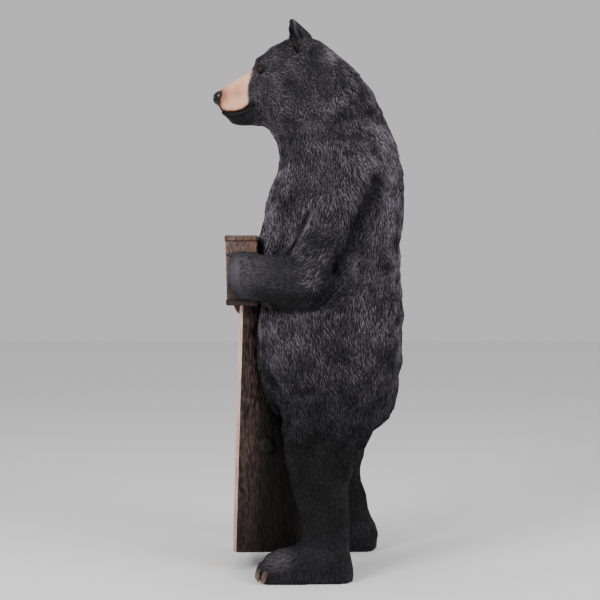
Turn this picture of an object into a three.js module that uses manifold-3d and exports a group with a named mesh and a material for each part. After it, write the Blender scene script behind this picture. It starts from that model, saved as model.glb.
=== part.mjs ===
// A life-size standing black bear, cast in resin and painted, that holds an open wooden box between its
// front paws. A split log with its bark on hangs below the box and backs against the belly, and a small
// corbel under the box sits on the log's sawn front face.
//
// Millimetres, +Z up. The bear faces -Y, so its left side is +X. The figure's own forms are given for a
// bear 1800 mm high to the ear tips, and are scaled by BEAR_HEIGHT.

import * as THREE from "three";
import { mergeVertices } from "three/addons/utils/BufferGeometryUtils.js";
import Module from "manifold-3d";

const wasm = await Module();
wasm.setup();

// Driving dimensions

const BEAR_HEIGHT = 1800;

const BOX_WIDTH = 340;
const BOX_DEPTH = 102;
const BOX_HEIGHT = 222;
const BOX_WALL = 14;
const BOX_FLOOR = 20;
const RIM_HEIGHT = 21;
const RIM_PROUD = 3;
const RIM_BEVEL = 4;
const BOX_CORNER = 7;

const LOG_FLOOR_CLEARANCE = 60;
const BARK = 7;
const BARK_STEPS = 14;
const BARK_RIDGES = 4;
const SAPWOOD_EDGE = 13;

const CORBEL_WIDTH = 90;
const CORBEL_REACH = 23;
const CORBEL_DROP = 42;

const SEAT_GAP = 0.4;

const LOCK_COLUMNS = 17;
const LOCK_LENGTH = 140;
const LOCK_RISE = 13;
const LOCK_AXIS_Y = 90;

const RIGHT_FOOT_SET_BACK = 104;
const SET_BACK_TOP = 560;
const TOE_SPREAD = [-50, -26, -1, 24, 47];
const TOE_BACK = [10, 2, 0, 5, 14];
const TOE_MIDDLE_X = 217;
const TOE_CLAW_LENGTH = 40;
const FINGER_HEIGHTS = [62, 32, 1, -30, -58];
const FINGER_BACK = [8, 1, 0, 4, 16];
const FINGER_CLAW_LENGTH = 30;
const EAR_CENTRE = [102, 2, 1732];
const EAR_TURN = [30, -14, -48];
const EYE = [70, -126, 1643];

// The figure's scale, and places where the pieces meet

const FIGURE = BEAR_HEIGHT / 1800;
const at = (...xyz) => new THREE.Vector3(...xyz.map((v) => v * FIGURE));
const BOX_MIDDLE_Z = 988 * FIGURE;
const CHEST_FRONT = -134 * FIGURE;
const BOX_TOP = BOX_MIDDLE_Z + BOX_HEIGHT / 2;
const BOX_BOTTOM = BOX_MIDDLE_Z - BOX_HEIGHT / 2;
const BOX_BACK = CHEST_FRONT - SEAT_GAP;
const BOX_FRONT = BOX_BACK - BOX_DEPTH;
const LOG_FRONT_AT_HEAD = -197 * FIGURE;
const PAW_X = BOX_WIDTH / 2 + 30 * FIGURE;
const PAW_Y = -162 * FIGURE;
const PAW_Z = 967 * FIGURE;

// Forms of the figure, as distance functions: negative inside, in millimetres

// A rounded body made of cross-sections across one axis. Each station is [place, low, high, half width]
// and may end with the section's middle in x. The sections are superellipses, and change smoothly.
function stacked(stations, squareness, alongY, setBack = () => 0) {
  const sections = stations.map(([, low, high, half, middle = 0]) => [low, high, half, middle]);
  const places = stations.map(([place]) => place * FIGURE);
  const values = sections.flat().map((v) => v * FIGURE);
  const between = new THREE.CubicInterpolant(places, values, sections[0].length);
  const [first, last] = [places[0], places.at(-1)];
  return (x, y, z) => {
    const place = alongY ? -y : z;
    const depth = alongY ? z : y - setBack(z);
    const [low, high, half, middle] = between.evaluate(THREE.MathUtils.clamp(place, first, last));
    const across = x - middle;
    const along = depth - (low + high) / 2;
    const reach = Math.hypot(across, along);
    const norm = ((Math.abs(across) / half) ** squareness
      + (Math.abs(along) / ((high - low) / 2)) ** squareness) ** (1 / squareness);
    const side = norm > 0.05 ? reach * (1 - 1 / norm) : -Math.min(half, (high - low) / 2);
    return Math.max(side, first - place, place - last);
  };
}

// A limb along straight bones between joints. Each joint is [x, y, z, half thickness in x, radius].
function limb(joints) {
  const bones = joints.slice(1).map((end, i) => {
    const start = joints[i];
    const from = new THREE.Vector3(...start);
    const bone = new THREE.Vector3(...end).sub(from);
    return { start, end, from, bone, square: bone.lengthSq() };
  });
  const offset = new THREE.Vector3();
  return (x, y, z) => Math.min(...bones.map(({ start, end, from, bone, square }) => {
    offset.set(x, y, z).sub(from);
    const share = THREE.MathUtils.clamp(offset.dot(bone) / square, 0, 1);
    offset.addScaledVector(bone, -share);
    const thick = THREE.MathUtils.lerp(start[3], end[3], share);
    const radius = THREE.MathUtils.lerp(start[4], end[4], share);
    const norm = Math.hypot(offset.x / thick, offset.y / radius, offset.z / radius);
    return norm > 0.05 ? offset.length() * (1 - 1 / norm) : -thick;
  }));
}

// An ellipsoid, turned by Euler angles in degrees.
function ellipsoid(centre, radii, turn = [0, 0, 0]) {
  const back = new THREE.Matrix4()
    .makeRotationFromEuler(new THREE.Euler(...turn.map(THREE.MathUtils.degToRad)))
    .setPosition(centre)
    .invert();
  const [a, b, c] = radii.map((r) => r * FIGURE);
  const local = new THREE.Vector3();
  return (x, y, z) => {
    local.set(x, y, z).applyMatrix4(back);
    const norm = Math.hypot(local.x / a, local.y / b, local.z / c);
    return norm > 0.05 ? local.length() * (1 - 1 / norm) : -Math.min(a, b, c);
  };
}

const blend = (one, other, soft) => {
  const overlap = Math.max(soft - Math.abs(one - other), 0) / soft;
  return Math.min(one, other) - overlap * overlap * soft / 4;
};

// Torso, neck and skull: [height, front, back, half width].
const trunk = stacked([
  [430, 90, 190, 40],
  [450, 30, 237, 110],
  [485, -35, 286, 170],
  [520, -85, 309, 215],
  [560, -112, 319, 245],
  [620, -131, 326, 270],
  [700, -142, 335, 286],
  [790, -141, 338, 288],
  [890, -130, 338, 276],
  [990, -133, 331, 252],
  [1060, -135, 328, 240],
  [1110, -129, 331, 235],
  [1190, -112, 342, 230],
  [1270, -88, 343, 222],
  [1350, -66, 331, 206],
  [1400, -66, 316, 190],
  [1440, -84, 301, 174],
  [1480, -112, 284, 162],
  [1530, -128, 260, 153],
  [1580, -132, 234, 147],
  [1630, -136, 196, 138],
  [1670, -138, 156, 122],
  [1705, -117, 116, 101],
  [1735, -84, 80, 74],
  [1752, -50, 50, 48],
  [1760, -15, 20, 15],
], 2.3, false);

// Muzzle and jaw: [distance forward, underside, top, half width].
const muzzle = stacked([
  [90, 1468, 1664, 80],
  [125, 1470, 1661, 74],
  [160, 1474, 1648, 62],
  [200, 1478, 1625, 53],
  [235, 1489, 1606, 46],
  [258, 1504, 1592, 39],
  [273, 1526, 1582, 31],
  [282, 1544, 1572, 18],
  [287, 1554, 1564, 6],
], 2.5, true);

// A hind leg: [height, front, back, half width, middle in x].
const LEG = [
  [30, 10, 150, 56, 208],
  [110, 4, 156, 60, 206],
  [190, 0, 160, 66, 203],
  [290, -28, 156, 80, 196],
  [400, -50, 200, 100, 183],
  [480, -55, 240, 117, 172],
  [560, -45, 272, 128, 160],
  [660, -10, 290, 128, 150],
  [760, 40, 280, 100, 140],
];

// A hind foot: [distance forward, underside, top, half width, middle in x]. What is below the floor is
// cut off later, so the sole is flat.
const FOOT = [
  [-170, -10, 50, 20, 213],
  [-162, -35, 76, 42, 213],
  [-141, -50, 105, 54, 213],
  [-90, -60, 125, 60, 213],
  [-20, -60, 114, 63, 214],
  [40, -55, 103, 66, 216],
  [85, -50, 94, 66, 217],
  [110, -45, 76, 58, 217],
  [124, -30, 46, 42, 217],
  [130, -10, 20, 10, 217],
];

// One side's leg and foot for the bear's left, and its arm, paw and head forms. The leg and foot of the
// side that stands further back are moved by setBack.
function sideForms(setBack) {
  const top = SET_BACK_TOP * FIGURE;
  const shift = (z) => setBack * FIGURE * THREE.MathUtils.clamp(1 - z / top, 0, 1);
  const leg = stacked(LEG, 2.2, false, shift);
  const footAtRest = stacked(FOOT, 2.4, true);
  const foot = (x, y, z) => footAtRest(x, y - setBack * FIGURE, z);
  const arm = limb([
    [180, 150, 1270, 85, 122],
    [232, 138, 1145, 78, 104],
    [262, 30, 950, 66, 98],
    [246, -60, 954, 56, 84],
    [240, -112, 955, 48, 78],
  ].map((joint) => joint.map((v) => v * FIGURE)));
  const paw = ellipsoid(new THREE.Vector3(PAW_X, PAW_Y, PAW_Z), [40, 58, 80]);
  return { leg, foot, arm, paw };
}

const left = sideForms(0);
const right = sideForms(RIGHT_FOOT_SET_BACK);
const cheek = ellipsoid(at(98, -38, 1545), [62, 84, 92]);
const brow = ellipsoid(at(55, -122, 1668), [36, 26, 22]);
const socket = ellipsoid(at(88, -142, 1643), [24, 24, 17]);

// Coarse locks of fur, as the height that they stand proud of the skin. They lie in staggered rows
// down the body, and fade out on the face, the forearms, the paws and the feet.
function lockHeight(x, y, z) {
  const [hx, hy, hz] = [x / FIGURE, y / FIGURE, z / FIGURE];
  const round = Math.atan2(hx, hy - LOCK_AXIS_Y) / (2 * Math.PI);
  const wave = Math.sin(hz / 83 + 9 * round) * 0.22 + Math.sin(hz / 37 - 23 * round) * 0.1;
  const row = hz / LOCK_LENGTH + 0.35 * Math.sin(17 * round) + 0.2 * Math.sin(hx / 41);
  const level = Math.floor(row);
  const column = round * LOCK_COLUMNS + wave + (level % 2) / 2;
  const across = column - Math.floor(column) - 0.5;
  const down = 1 - (row - level);
  const ridge = Math.cos(Math.PI * across) ** 2;
  const swell = down < 0.72 ? down / 0.72 : (1 - down) / 0.28;
  const face = THREE.MathUtils.smoothstep(hy, -120, -40) + THREE.MathUtils.smoothstep(-hz, -1500, -1440);
  const arms = THREE.MathUtils.smoothstep(hy, -60, 40) + THREE.MathUtils.smoothstep(250 - Math.abs(hx), 20, 60)
    + THREE.MathUtils.smoothstep(Math.abs(hz - 955), 90, 140);
  const ends = THREE.MathUtils.smoothstep(hz, 120, 300) * THREE.MathUtils.smoothstep(-hz, -1700, -1600);
  return LOCK_RISE * FIGURE * (ridge * swell - 0.3) * Math.min(1, face) * Math.min(1, arms) * ends;
}

// Between which heights the arms are, as on a bear 1800 mm high.
const ARM_HEIGHTS = [800, 1450];

// The whole skin: a forward paw, a leg or the ears are only worked out at the heights where they are.
function skin(x, y, z) {
  const side = x >= 0 ? left : right;
  const u = Math.abs(x);
  let d = trunk(x, y, z);
  if (z < 800 * FIGURE) {
    const lower = blend(side.leg(u, y, z), side.foot(u, y, z), 30 * FIGURE);
    d = blend(d, lower, 50 * FIGURE);
  }
  if (z > ARM_HEIGHTS[0] * FIGURE && z < ARM_HEIGHTS[1] * FIGURE) {
    d = blend(d, blend(side.arm(u, y, z), side.paw(u, y, z), 30 * FIGURE), 24 * FIGURE);
  }
  if (z > 1400 * FIGURE) {
    d = blend(d, cheek(u, y, z), 50 * FIGURE);
    d = blend(d, muzzle(x, y, z), 30 * FIGURE);
    d = blend(d, brow(u, y, z), 20 * FIGURE);
    d = -blend(-d, socket(u, y, z), 14 * FIGURE);
  }
  return d - lockHeight(x, y, z);
}

// The grid that the skin is sampled on. Its lines along one axis are given as [up to, spacing], and it
// narrows in x above the shoulders, where the head needs a finer mesh.
function gridLines(from, zones) {
  const lines = [from];
  for (const [upTo, spacing] of zones) {
    const start = lines.at(-1);
    const steps = Math.max(1, Math.round((upTo - start) / spacing));
    for (let i = 1; i <= steps; i += 1) lines.push(start + (upTo - start) * i / steps);
  }
  return lines.map((v) => v * FIGURE);
}

const GRID_X = gridLines(-390, [[-70, 46], [70, 28], [390, 46]]);
const GRID_Y = gridLines(-330, [[-90, 24], [420, 46]]);
const GRID_Z = gridLines(-110, [[-20, 30], [120, 28], [820, 50], [1060, 36], [1430, 48], [1810, 24]]);
const HEAD_GRID_WIDTH = 0.6;

function gridCorner(i, j, k) {
  const above = THREE.MathUtils.smoothstep(GRID_Z[k], 1300 * FIGURE, 1460 * FIGURE);
  const width = THREE.MathUtils.lerp(1, HEAD_GRID_WIDTH, above);
  return new THREE.Vector3(GRID_X[i] * width, GRID_Y[j], GRID_Z[k]);
}

// A closed mesh of the surface where the function is zero: one vertex in each cell that the surface
// crosses, and one four-sided face across each grid edge that it crosses, as two triangles.
function surfaceOf(f) {
  const [nx, ny, nz] = [GRID_X, GRID_Y, GRID_Z].map((lines) => lines.length);
  const index = (i, j, k) => (k * ny + j) * nx + i;
  const value = new Float64Array(nx * ny * nz);
  for (let k = 0; k < nz; k += 1) {
    for (let j = 0; j < ny; j += 1) {
      for (let i = 0; i < nx; i += 1) value[index(i, j, k)] = f(...gridCorner(i, j, k));
    }
  }
  // Where two corners of a grid square that face each other across it are inside and the other two are
  // not, the surface would touch itself, so one more corner is taken inside.
  let sealed = true;
  while (sealed) {
    sealed = false;
    for (let k = 0; k < nz - 1; k += 1) {
      for (let j = 0; j < ny - 1; j += 1) {
        for (let i = 0; i < nx - 1; i += 1) {
          const a = index(i, j, k);
          for (const [u, v] of [[1, nx], [nx, nx * ny], [nx * ny, 1]]) {
            const [b, c, d] = [a + u, a + u + v, a + v];
            const [ia, ib, ic, id] = [a, b, c, d].map((n) => value[n] < 0);
            if (ia !== ic || ib !== id || ia === ib) continue;
            value[ia ? b : a] = -1;
            sealed = true;
          }
        }
      }
    }
  }

  const points = [];
  const cellPoint = new Map();
  const corners = [0, 1, 2, 3, 4, 5, 6, 7].map((n) => [n & 1, (n >> 1) & 1, n >> 2]);
  const edges = corners.flatMap((a, m) => [1, 2, 4].filter((bit) => !(m & bit))
    .map((bit) => [a, corners[m | bit]]));
  for (let k = 0; k < nz - 1; k += 1) {
    for (let j = 0; j < ny - 1; j += 1) {
      for (let i = 0; i < nx - 1; i += 1) {
        const sum = new THREE.Vector3();
        let crossings = 0;
        for (const [a, b] of edges) {
          const va = value[index(i + a[0], j + a[1], k + a[2])];
          const vb = value[index(i + b[0], j + b[1], k + b[2])];
          if ((va < 0) === (vb < 0)) continue;
          const pa = gridCorner(i + a[0], j + a[1], k + a[2]);
          sum.add(pa.lerp(gridCorner(i + b[0], j + b[1], k + b[2]), va / (va - vb)));
          crossings += 1;
        }
        if (!crossings) continue;
        cellPoint.set(index(i, j, k), points.length);
        points.push(sum.divideScalar(crossings));
      }
    }
  }
  const faces = [];
  const steps = [[1, 0, 0], [0, 1, 0], [0, 0, 1]];
  for (let k = 1; k < nz - 1; k += 1) {
    for (let j = 1; j < ny - 1; j += 1) {
      for (let i = 1; i < nx - 1; i += 1) {
        const here = value[index(i, j, k)] < 0;
        steps.forEach(([di, dj, dk], axis) => {
          if (here === value[index(i + di, j + dj, k + dk)] < 0) return;
          const [u, v] = [steps[(axis + 1) % 3], steps[(axis + 2) % 3]];
          const around = [[0, 0], [1, 0], [1, 1], [0, 1]].map(([a, b]) => cellPoint.get(
            index(i - a * u[0] - b * v[0], j - a * u[1] - b * v[1], k - a * u[2] - b * v[2])));
          if (!here) around.reverse();
          const [p, q, r, s] = around;
          const flat = points[p].distanceTo(points[r]) < points[q].distanceTo(points[s]);
          faces.push(...(flat ? [p, q, r, p, r, s] : [q, r, s, q, s, p]));
        });
      }
    }
  }
  return { points, faces };
}

const slope = (f, p, step = 1) => new THREE.Vector3(
  f(p.x + step, p.y, p.z) - f(p.x - step, p.y, p.z),
  f(p.x, p.y + step, p.z) - f(p.x, p.y - step, p.z),
  f(p.x, p.y, p.z + step) - f(p.x, p.y, p.z - step),
).divideScalar(2 * step);

// Moves each point onto the surface, by at most the given reach.
function settle(f, points, reach) {
  for (const p of points) {
    const away = slope(f, p);
    const move = THREE.MathUtils.clamp(f(p.x, p.y, p.z) / Math.max(away.lengthSq(), 0.2), -reach, reach);
    p.addScaledVector(away, -move);
  }
}

function solidOf(geometry) {
  const bare = geometry.clone();
  for (const name of Object.keys(bare.attributes)) if (name !== "position") bare.deleteAttribute(name);
  const merged = mergeVertices(bare, 1e-3);
  return new wasm.Manifold(new wasm.Mesh({
    numProp: 3,
    vertProperties: merged.attributes.position.array,
    triVerts: new Uint32Array(merged.index.array),
  }));
}

function geometryOf(solid) {
  const { vertProperties, triVerts } = solid.getMesh();
  const geometry = new THREE.BufferGeometry();
  geometry.setAttribute("position", new THREE.BufferAttribute(vertProperties, 3));
  geometry.setIndex(new THREE.BufferAttribute(triVerts, 1));
  return geometry;
}

function block(low, high) {
  const size = new THREE.Vector3().subVectors(high, low);
  return new THREE.BoxGeometry(size.x, size.y, size.z).translate(
    (low.x + high.x) / 2, (low.y + high.y) / 2, (low.z + high.z) / 2);
}

// A ball scaled to an ellipsoid, turned by Euler angles in degrees and moved to its centre.
function ball(centre, radii, turn, around, up) {
  return new THREE.SphereGeometry(1, around, up)
    .applyMatrix4(new THREE.Matrix4().compose(
      centre,
      new THREE.Quaternion().setFromEuler(new THREE.Euler(...turn.map(THREE.MathUtils.degToRad))),
      new THREE.Vector3(...radii).multiplyScalar(FIGURE),
    ));
}

// A claw that starts along the y axis towards -Y and curves down, with a five-sided section.
function claw(length, radius, bend) {
  const sides = 5;
  const rings = [[0, 1], [0.55, 0.72]];
  const place = (share) => {
    const angle = THREE.MathUtils.degToRad(bend * share);
    return new THREE.Vector3(0, -Math.cos(angle / 2) * length * share, -Math.sin(angle / 2) * length * share);
  };
  const points = rings.flatMap(([share, width]) => Array.from({ length: sides }, (_, n) => {
    const angle = 2 * Math.PI * n / sides;
    const tilt = THREE.MathUtils.degToRad(bend * share);
    const out = new THREE.Vector3(Math.sin(angle) * radius * width, 0, Math.cos(angle) * radius * width * 1.2);
    return out.applyAxisAngle(new THREE.Vector3(1, 0, 0), tilt).add(place(share));
  }));
  const tip = points.push(place(1)) - 1;
  const faces = [];
  for (let n = 0; n < sides; n += 1) {
    const next = (n + 1) % sides;
    faces.push(n, sides + next, next, n, sides + n, sides + next);
    faces.push(sides + n, tip, sides + next);
    if (n > 0 && n < sides - 1) faces.push(0, n, n + 1);
  }
  return new THREE.BufferGeometry().setFromPoints(points).setIndex(faces);
}

const mirrored = (geometry) => {
  const copy = geometry.clone().scale(-1, 1, 1);
  const { array } = copy.index;
  for (let n = 0; n < array.length; n += 3) [array[n], array[n + 1]] = [array[n + 1], array[n]];
  return copy;
};

// Toes and their claws for the left hind foot.
function toeParts() {
  return TOE_SPREAD.flatMap((spread, n) => {
    const back = TOE_BACK[n];
    const x = TOE_MIDDLE_X + spread;
    const toe = ball(at(x, -112 + back, 30), [14.5, 29, 31], [0, 0, 0], 7, 5);
    const nail = claw(TOE_CLAW_LENGTH * FIGURE, 7.5 * FIGURE, 50)
      .rotateX(THREE.MathUtils.degToRad(38))
      .translate(...at(x, -122 + back, 46));
    return [toe, nail];
  });
}

// Fingers and their claws for the left paw, which point forward along the side of the box.
function fingerParts() {
  return FINGER_HEIGHTS.flatMap((height, n) => {
    const z = PAW_Z + height * FIGURE;
    const y = PAW_Y + FINGER_BACK[n] * FIGURE;
    const finger = ball(new THREE.Vector3(PAW_X - 4 * FIGURE, y - 26 * FIGURE, z), [20, 30, 17], [0, 0, 0], 7, 5);
    const nail = claw(FINGER_CLAW_LENGTH * FIGURE, 6.5 * FIGURE, 50)
      .rotateY(Math.PI / 2)
      .translate(PAW_X + 4 * FIGURE, y - 44 * FIGURE, z);
    return [finger, nail];
  });
}

function earPart() {
  const centre = at(...EAR_CENTRE);
  const lean = new THREE.Euler(...EAR_TURN.map(THREE.MathUtils.degToRad));
  const opening = centre.clone().add(at(19, 0, 8).applyEuler(lean));
  const shell = solidOf(ball(centre, [23, 49, 68], EAR_TURN, 10, 8));
  return shell.subtract(solidOf(ball(opening, [20, 34, 49], EAR_TURN, 8, 6)));
}

// Half the width of the space over the floor that the figure is kept to, and its height.
const ROOM = 1.7 * BEAR_HEIGHT;

function figureSolid() {
  const { points, faces } = surfaceOf(skin);
  settle(skin, points, 6 * FIGURE);
  settle(skin, points, 3 * FIGURE);
  const geometry = new THREE.BufferGeometry().setFromPoints(points).setIndex(faces);
  let solid = solidOf(geometry);

  const ear = earPart();
  const mirror = new THREE.Matrix4().makeScale(-1, 1, 1).toArray();
  solid = solid.add(ear).add(ear.transform(mirror));

  const eye = ball(at(...EYE), [12, 12, 12], [0, 0, 0], 8, 6);
  const nosePad = ball(at(0, -264, 1567), [31, 19, 22], [28, 0, 0], 10, 7);
  const backSet = new THREE.Matrix4().makeTranslation(0, RIGHT_FOOT_SET_BACK * FIGURE, 0);
  const extras = [
    nosePad, eye, mirrored(eye),
    ...toeParts(), ...toeParts().map((toe) => mirrored(toe).applyMatrix4(backSet)),
    ...fingerParts(), ...fingerParts().map(mirrored),
  ];
  for (const extra of extras) solid = solid.add(solidOf(extra));

  const room = block(new THREE.Vector3(-ROOM, -ROOM, 0), new THREE.Vector3(ROOM, ROOM, ROOM));
  return solid.intersect(solidOf(room));
}

// The box

// A plate with rounded corners, lying in x and y, from one height to another.
function roundedPlate(halfWidth, front, back, corner, low, high, bevel) {
  const [w, f, b, r] = [halfWidth - bevel, front + bevel, back - bevel, corner];
  const outline = new THREE.Shape();
  outline.moveTo(-w + r, f);
  outline.lineTo(w - r, f);
  outline.absarc(w - r, f + r, r, -Math.PI / 2, 0);
  outline.absarc(w - r, b - r, r, 0, Math.PI / 2);
  outline.absarc(-w + r, b - r, r, Math.PI / 2, Math.PI);
  outline.absarc(-w + r, f + r, r, Math.PI, 1.5 * Math.PI);
  return new THREE.ExtrudeGeometry(outline, {
    depth: high - low - 2 * bevel,
    curveSegments: 2,
    bevelEnabled: bevel > 0,
    bevelSize: bevel,
    bevelThickness: bevel,
    bevelSegments: 1,
  }).translate(0, 0, low + bevel);
}

function boxSolid() {
  const half = BOX_WIDTH / 2;
  const sides = roundedPlate(half - RIM_PROUD, BOX_FRONT + RIM_PROUD, BOX_BACK - RIM_PROUD, BOX_CORNER,
    BOX_BOTTOM + RIM_HEIGHT / 2, BOX_TOP - RIM_HEIGHT / 2, 0);
  const rims = [[BOX_BOTTOM, BOX_BOTTOM + RIM_HEIGHT], [BOX_TOP - RIM_HEIGHT, BOX_TOP]].map(([low, high]) => (
    roundedPlate(half, BOX_FRONT, BOX_BACK, BOX_CORNER, low, high, RIM_BEVEL)));
  const inner = RIM_PROUD + BOX_WALL;
  const inside = block(
    new THREE.Vector3(-half + inner, BOX_FRONT + inner, BOX_BOTTOM + BOX_FLOOR),
    new THREE.Vector3(half - inner, BOX_BACK - inner, BOX_TOP + 50),
  );
  const keel = new THREE.CylinderGeometry(1, 1, CORBEL_WIDTH, 14).rotateZ(Math.PI / 2)
    .scale(1, CORBEL_REACH * 1.35, CORBEL_DROP)
    .translate(0, LOG_FRONT_AT_HEAD + CORBEL_REACH * 0.35, BOX_BOTTOM + RIM_HEIGHT / 2);
  const inFront = block(
    new THREE.Vector3(-half, BOX_FRONT, BOX_BOTTOM - CORBEL_DROP),
    new THREE.Vector3(half, LOG_FRONT_AT_HEAD - SEAT_GAP, BOX_BOTTOM + RIM_HEIGHT / 2),
  );
  let solid = solidOf(sides);
  for (const rim of rims) solid = solid.add(solidOf(rim));
  solid = solid.add(solidOf(keel).intersect(solidOf(inFront)));
  return solid.subtract(solidOf(inside));
}

// The log

// The log's outline at each height: [height, front, back, half width].
const LOG = [
  [LOG_FLOOR_CLEARANCE, -218, 4, 96],
  [LOG_FLOOR_CLEARANCE + 9, -220, 10, 100],
  [180, -218, 8, 97],
  [290, -215, -16, 92],
  [400, -212, -40, 88],
  [500, -209, -58, 85],
  [580, -207, -100, 83],
  [680, -204, -131, 80],
  [790, -201, -132, 77],
  [(BOX_BOTTOM - SEAT_GAP) / FIGURE, -197, -127, 74],
];

// One section of the log: a flat sawn face with a bare edge behind it, and bark round the back.
function logSection([height, front, back, half], grow) {
  const edge = SAPWOOD_EDGE;
  const middle = front + edge;
  const section = [[-half, front], [half, front], [half, middle]];
  for (let n = 0; n <= BARK_STEPS; n += 1) {
    const angle = Math.PI * n / BARK_STEPS;
    const ridge = BARK * (0.45 + 0.55 * Math.cos(angle * BARK_RIDGES + height / 70) ** 2);
    const reach = Math.abs(Math.sin(angle)) ** (2 / 2.6);
    const side = Math.sign(Math.cos(angle)) * Math.abs(Math.cos(angle)) ** (2 / 2.6);
    section.push([side * (half + ridge), middle + 3 + (back - middle - 3) * reach]);
  }
  section.push([-half, middle]);
  return section.map(([x, y]) => {
    const out = new THREE.Vector2(x, y - (front + back) / 2).normalize().multiplyScalar(grow);
    return new THREE.Vector3(x * FIGURE + out.x, y * FIGURE + out.y, height * FIGURE);
  });
}

function logGeometry(grow) {
  const rings = LOG.map((station) => logSection(station, grow));
  const count = rings[0].length;
  rings[0].forEach((p) => { p.z -= grow; });
  rings.at(-1).forEach((p) => { p.z += grow; });
  const points = rings.flat();
  const faces = [];
  for (let r = 0; r < rings.length - 1; r += 1) {
    for (let n = 0; n < count; n += 1) {
      const [a, b] = [r * count + n, r * count + (n + 1) % count];
      faces.push(a, b, b + count, a, b + count, a + count);
    }
  }
  for (const [ring, flip] of [[0, true], [rings.length - 1, false]]) {
    const flat = rings[ring].map((p) => new THREE.Vector2(p.x, p.y));
    for (const [a, b, c] of THREE.ShapeUtils.triangulateShape(flat, [])) {
      const [p, q, s] = [a, b, c].map((n) => ring * count + n);
      faces.push(...(flip ? [p, s, q] : [p, q, s]));
    }
  }
  return new THREE.BufferGeometry().setFromPoints(points).setIndex(faces);
}

function logSolid() {
  const knot = ball(at(88, -109, 412), [16, 20, 27], [0, 0, 0], 10, 6);
  return solidOf(logGeometry(0)).add(solidOf(knot));
}

// The pieces in their places

const logClearance = solidOf(logGeometry(SEAT_GAP));
const boxClearance = solidOf(block(
  new THREE.Vector3(-BOX_WIDTH / 2 - SEAT_GAP, BOX_FRONT - SEAT_GAP, BOX_BOTTOM - SEAT_GAP),
  new THREE.Vector3(BOX_WIDTH / 2 + SEAT_GAP, BOX_BACK + SEAT_GAP, BOX_TOP + SEAT_GAP),
));
const pieces = [
  ["bear", figureSolid().subtract(boxClearance).subtract(logClearance), 0x2d2c31, 0.7],
  ["wooden_box", boxSolid().subtract(logClearance), 0x5d3f33, 0.8],
  ["log_post", logSolid(), 0x3a2a26, 0.85],
];

const statue = new THREE.Group();
statue.name = "bear_statue";
for (const [name, solid, color, roughness] of pieces) {
  const material = new THREE.MeshStandardMaterial({ color, roughness });
  const mesh = new THREE.Mesh(geometryOf(solid), material);
  mesh.name = name;
  statue.add(mesh);
}

// The origin is the middle of the bottom of the whole statue's box.
const extent = new THREE.Box3().setFromObject(statue);
const middle = extent.getCenter(new THREE.Vector3());
for (const mesh of statue.children) mesh.geometry.translate(-middle.x, -middle.y, -extent.min.z);

export default statue;
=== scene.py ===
# The looks of a life-size standing black bear, cast in resin and painted by hand, that holds an open
# wooden box over an upright split log. Metres, +Z up. The bear faces -Y and its left side is +X.
import math
from functools import partial

import bmesh
import bpy
import numpy as np
from mathutils import Euler, Matrix, Vector, noise
from mathutils.bvhtree import BVHTree


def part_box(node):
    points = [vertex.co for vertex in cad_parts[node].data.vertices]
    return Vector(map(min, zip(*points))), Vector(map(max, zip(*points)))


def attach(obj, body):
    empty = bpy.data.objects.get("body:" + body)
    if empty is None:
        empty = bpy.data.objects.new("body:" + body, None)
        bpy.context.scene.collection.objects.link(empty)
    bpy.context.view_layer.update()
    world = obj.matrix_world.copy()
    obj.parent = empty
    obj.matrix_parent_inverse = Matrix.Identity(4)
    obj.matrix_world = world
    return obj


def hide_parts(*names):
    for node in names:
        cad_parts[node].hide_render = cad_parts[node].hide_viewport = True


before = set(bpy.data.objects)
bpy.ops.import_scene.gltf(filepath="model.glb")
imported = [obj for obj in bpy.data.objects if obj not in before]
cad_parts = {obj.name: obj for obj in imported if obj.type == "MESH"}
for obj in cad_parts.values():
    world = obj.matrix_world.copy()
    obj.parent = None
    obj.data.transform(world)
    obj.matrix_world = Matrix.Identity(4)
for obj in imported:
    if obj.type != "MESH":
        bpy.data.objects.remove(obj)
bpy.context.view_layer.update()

MM = 0.001

# The figure's own millimetres, as on a bear 1800 mm high, start from the middle of the box's width and
# from a line that the log's front edge stands 220 mm ahead of.
ORIGIN = Vector((
    (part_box("wooden_box")[0].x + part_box("wooden_box")[1].x) / 2,
    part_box("log_post")[0].y + 220 * MM,
    0,
))
# The box's lower and upper corners in the figure's millimetres.
BOX_LOW, BOX_HIGH = ((corner - ORIGIN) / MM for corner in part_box("wooden_box"))


def at(x, y, z):
    return ORIGIN + Vector((x, y, z)) * MM


# Making and finishing a piece

def in_scene(name, data):
    """A new object of the scene."""
    piece = bpy.data.objects.new(name, data)
    bpy.context.scene.collection.objects.link(piece)
    return piece


def finished(name, mesh, material, replaces=(), smooth=True):
    """A mesh as one finished piece of the statue."""
    mesh.name = name
    piece = in_scene(name, mesh)
    mesh.materials.clear()
    mesh.materials.append(material)
    if smooth:
        mesh.shade_smooth()
    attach(piece, "root")
    if replaces:
        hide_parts(*replaces)
    return piece


def applied(piece):
    """The mesh that the piece's modifiers make, as a new mesh."""
    graph = bpy.context.evaluated_depsgraph_get()
    return bpy.data.meshes.new_from_object(piece.evaluated_get(graph))


def mesh_of(bm):
    """The bmesh as a mesh; the bmesh is freed."""
    mesh = bpy.data.meshes.new("pattern")
    bm.to_mesh(mesh)
    bm.free()
    return mesh


def set_corners(mesh, co):
    mesh.vertices.foreach_set("co", co.ravel())
    mesh.update()


def node_copy(node):
    bm = bmesh.new()
    bm.from_mesh(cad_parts[node].data)
    bmesh.ops.remove_doubles(bm, verts=bm.verts, dist=0.01 * MM)
    return bm


# Materials

def linear(hex_value):
    def channel(c):
        return c / 12.92 if c <= 0.04045 else ((c + 0.055) / 1.055) ** 2.4
    return tuple(channel(int(hex_value[i:i + 2], 16) / 255) for i in (1, 3, 5)) + (1.0,)


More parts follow.
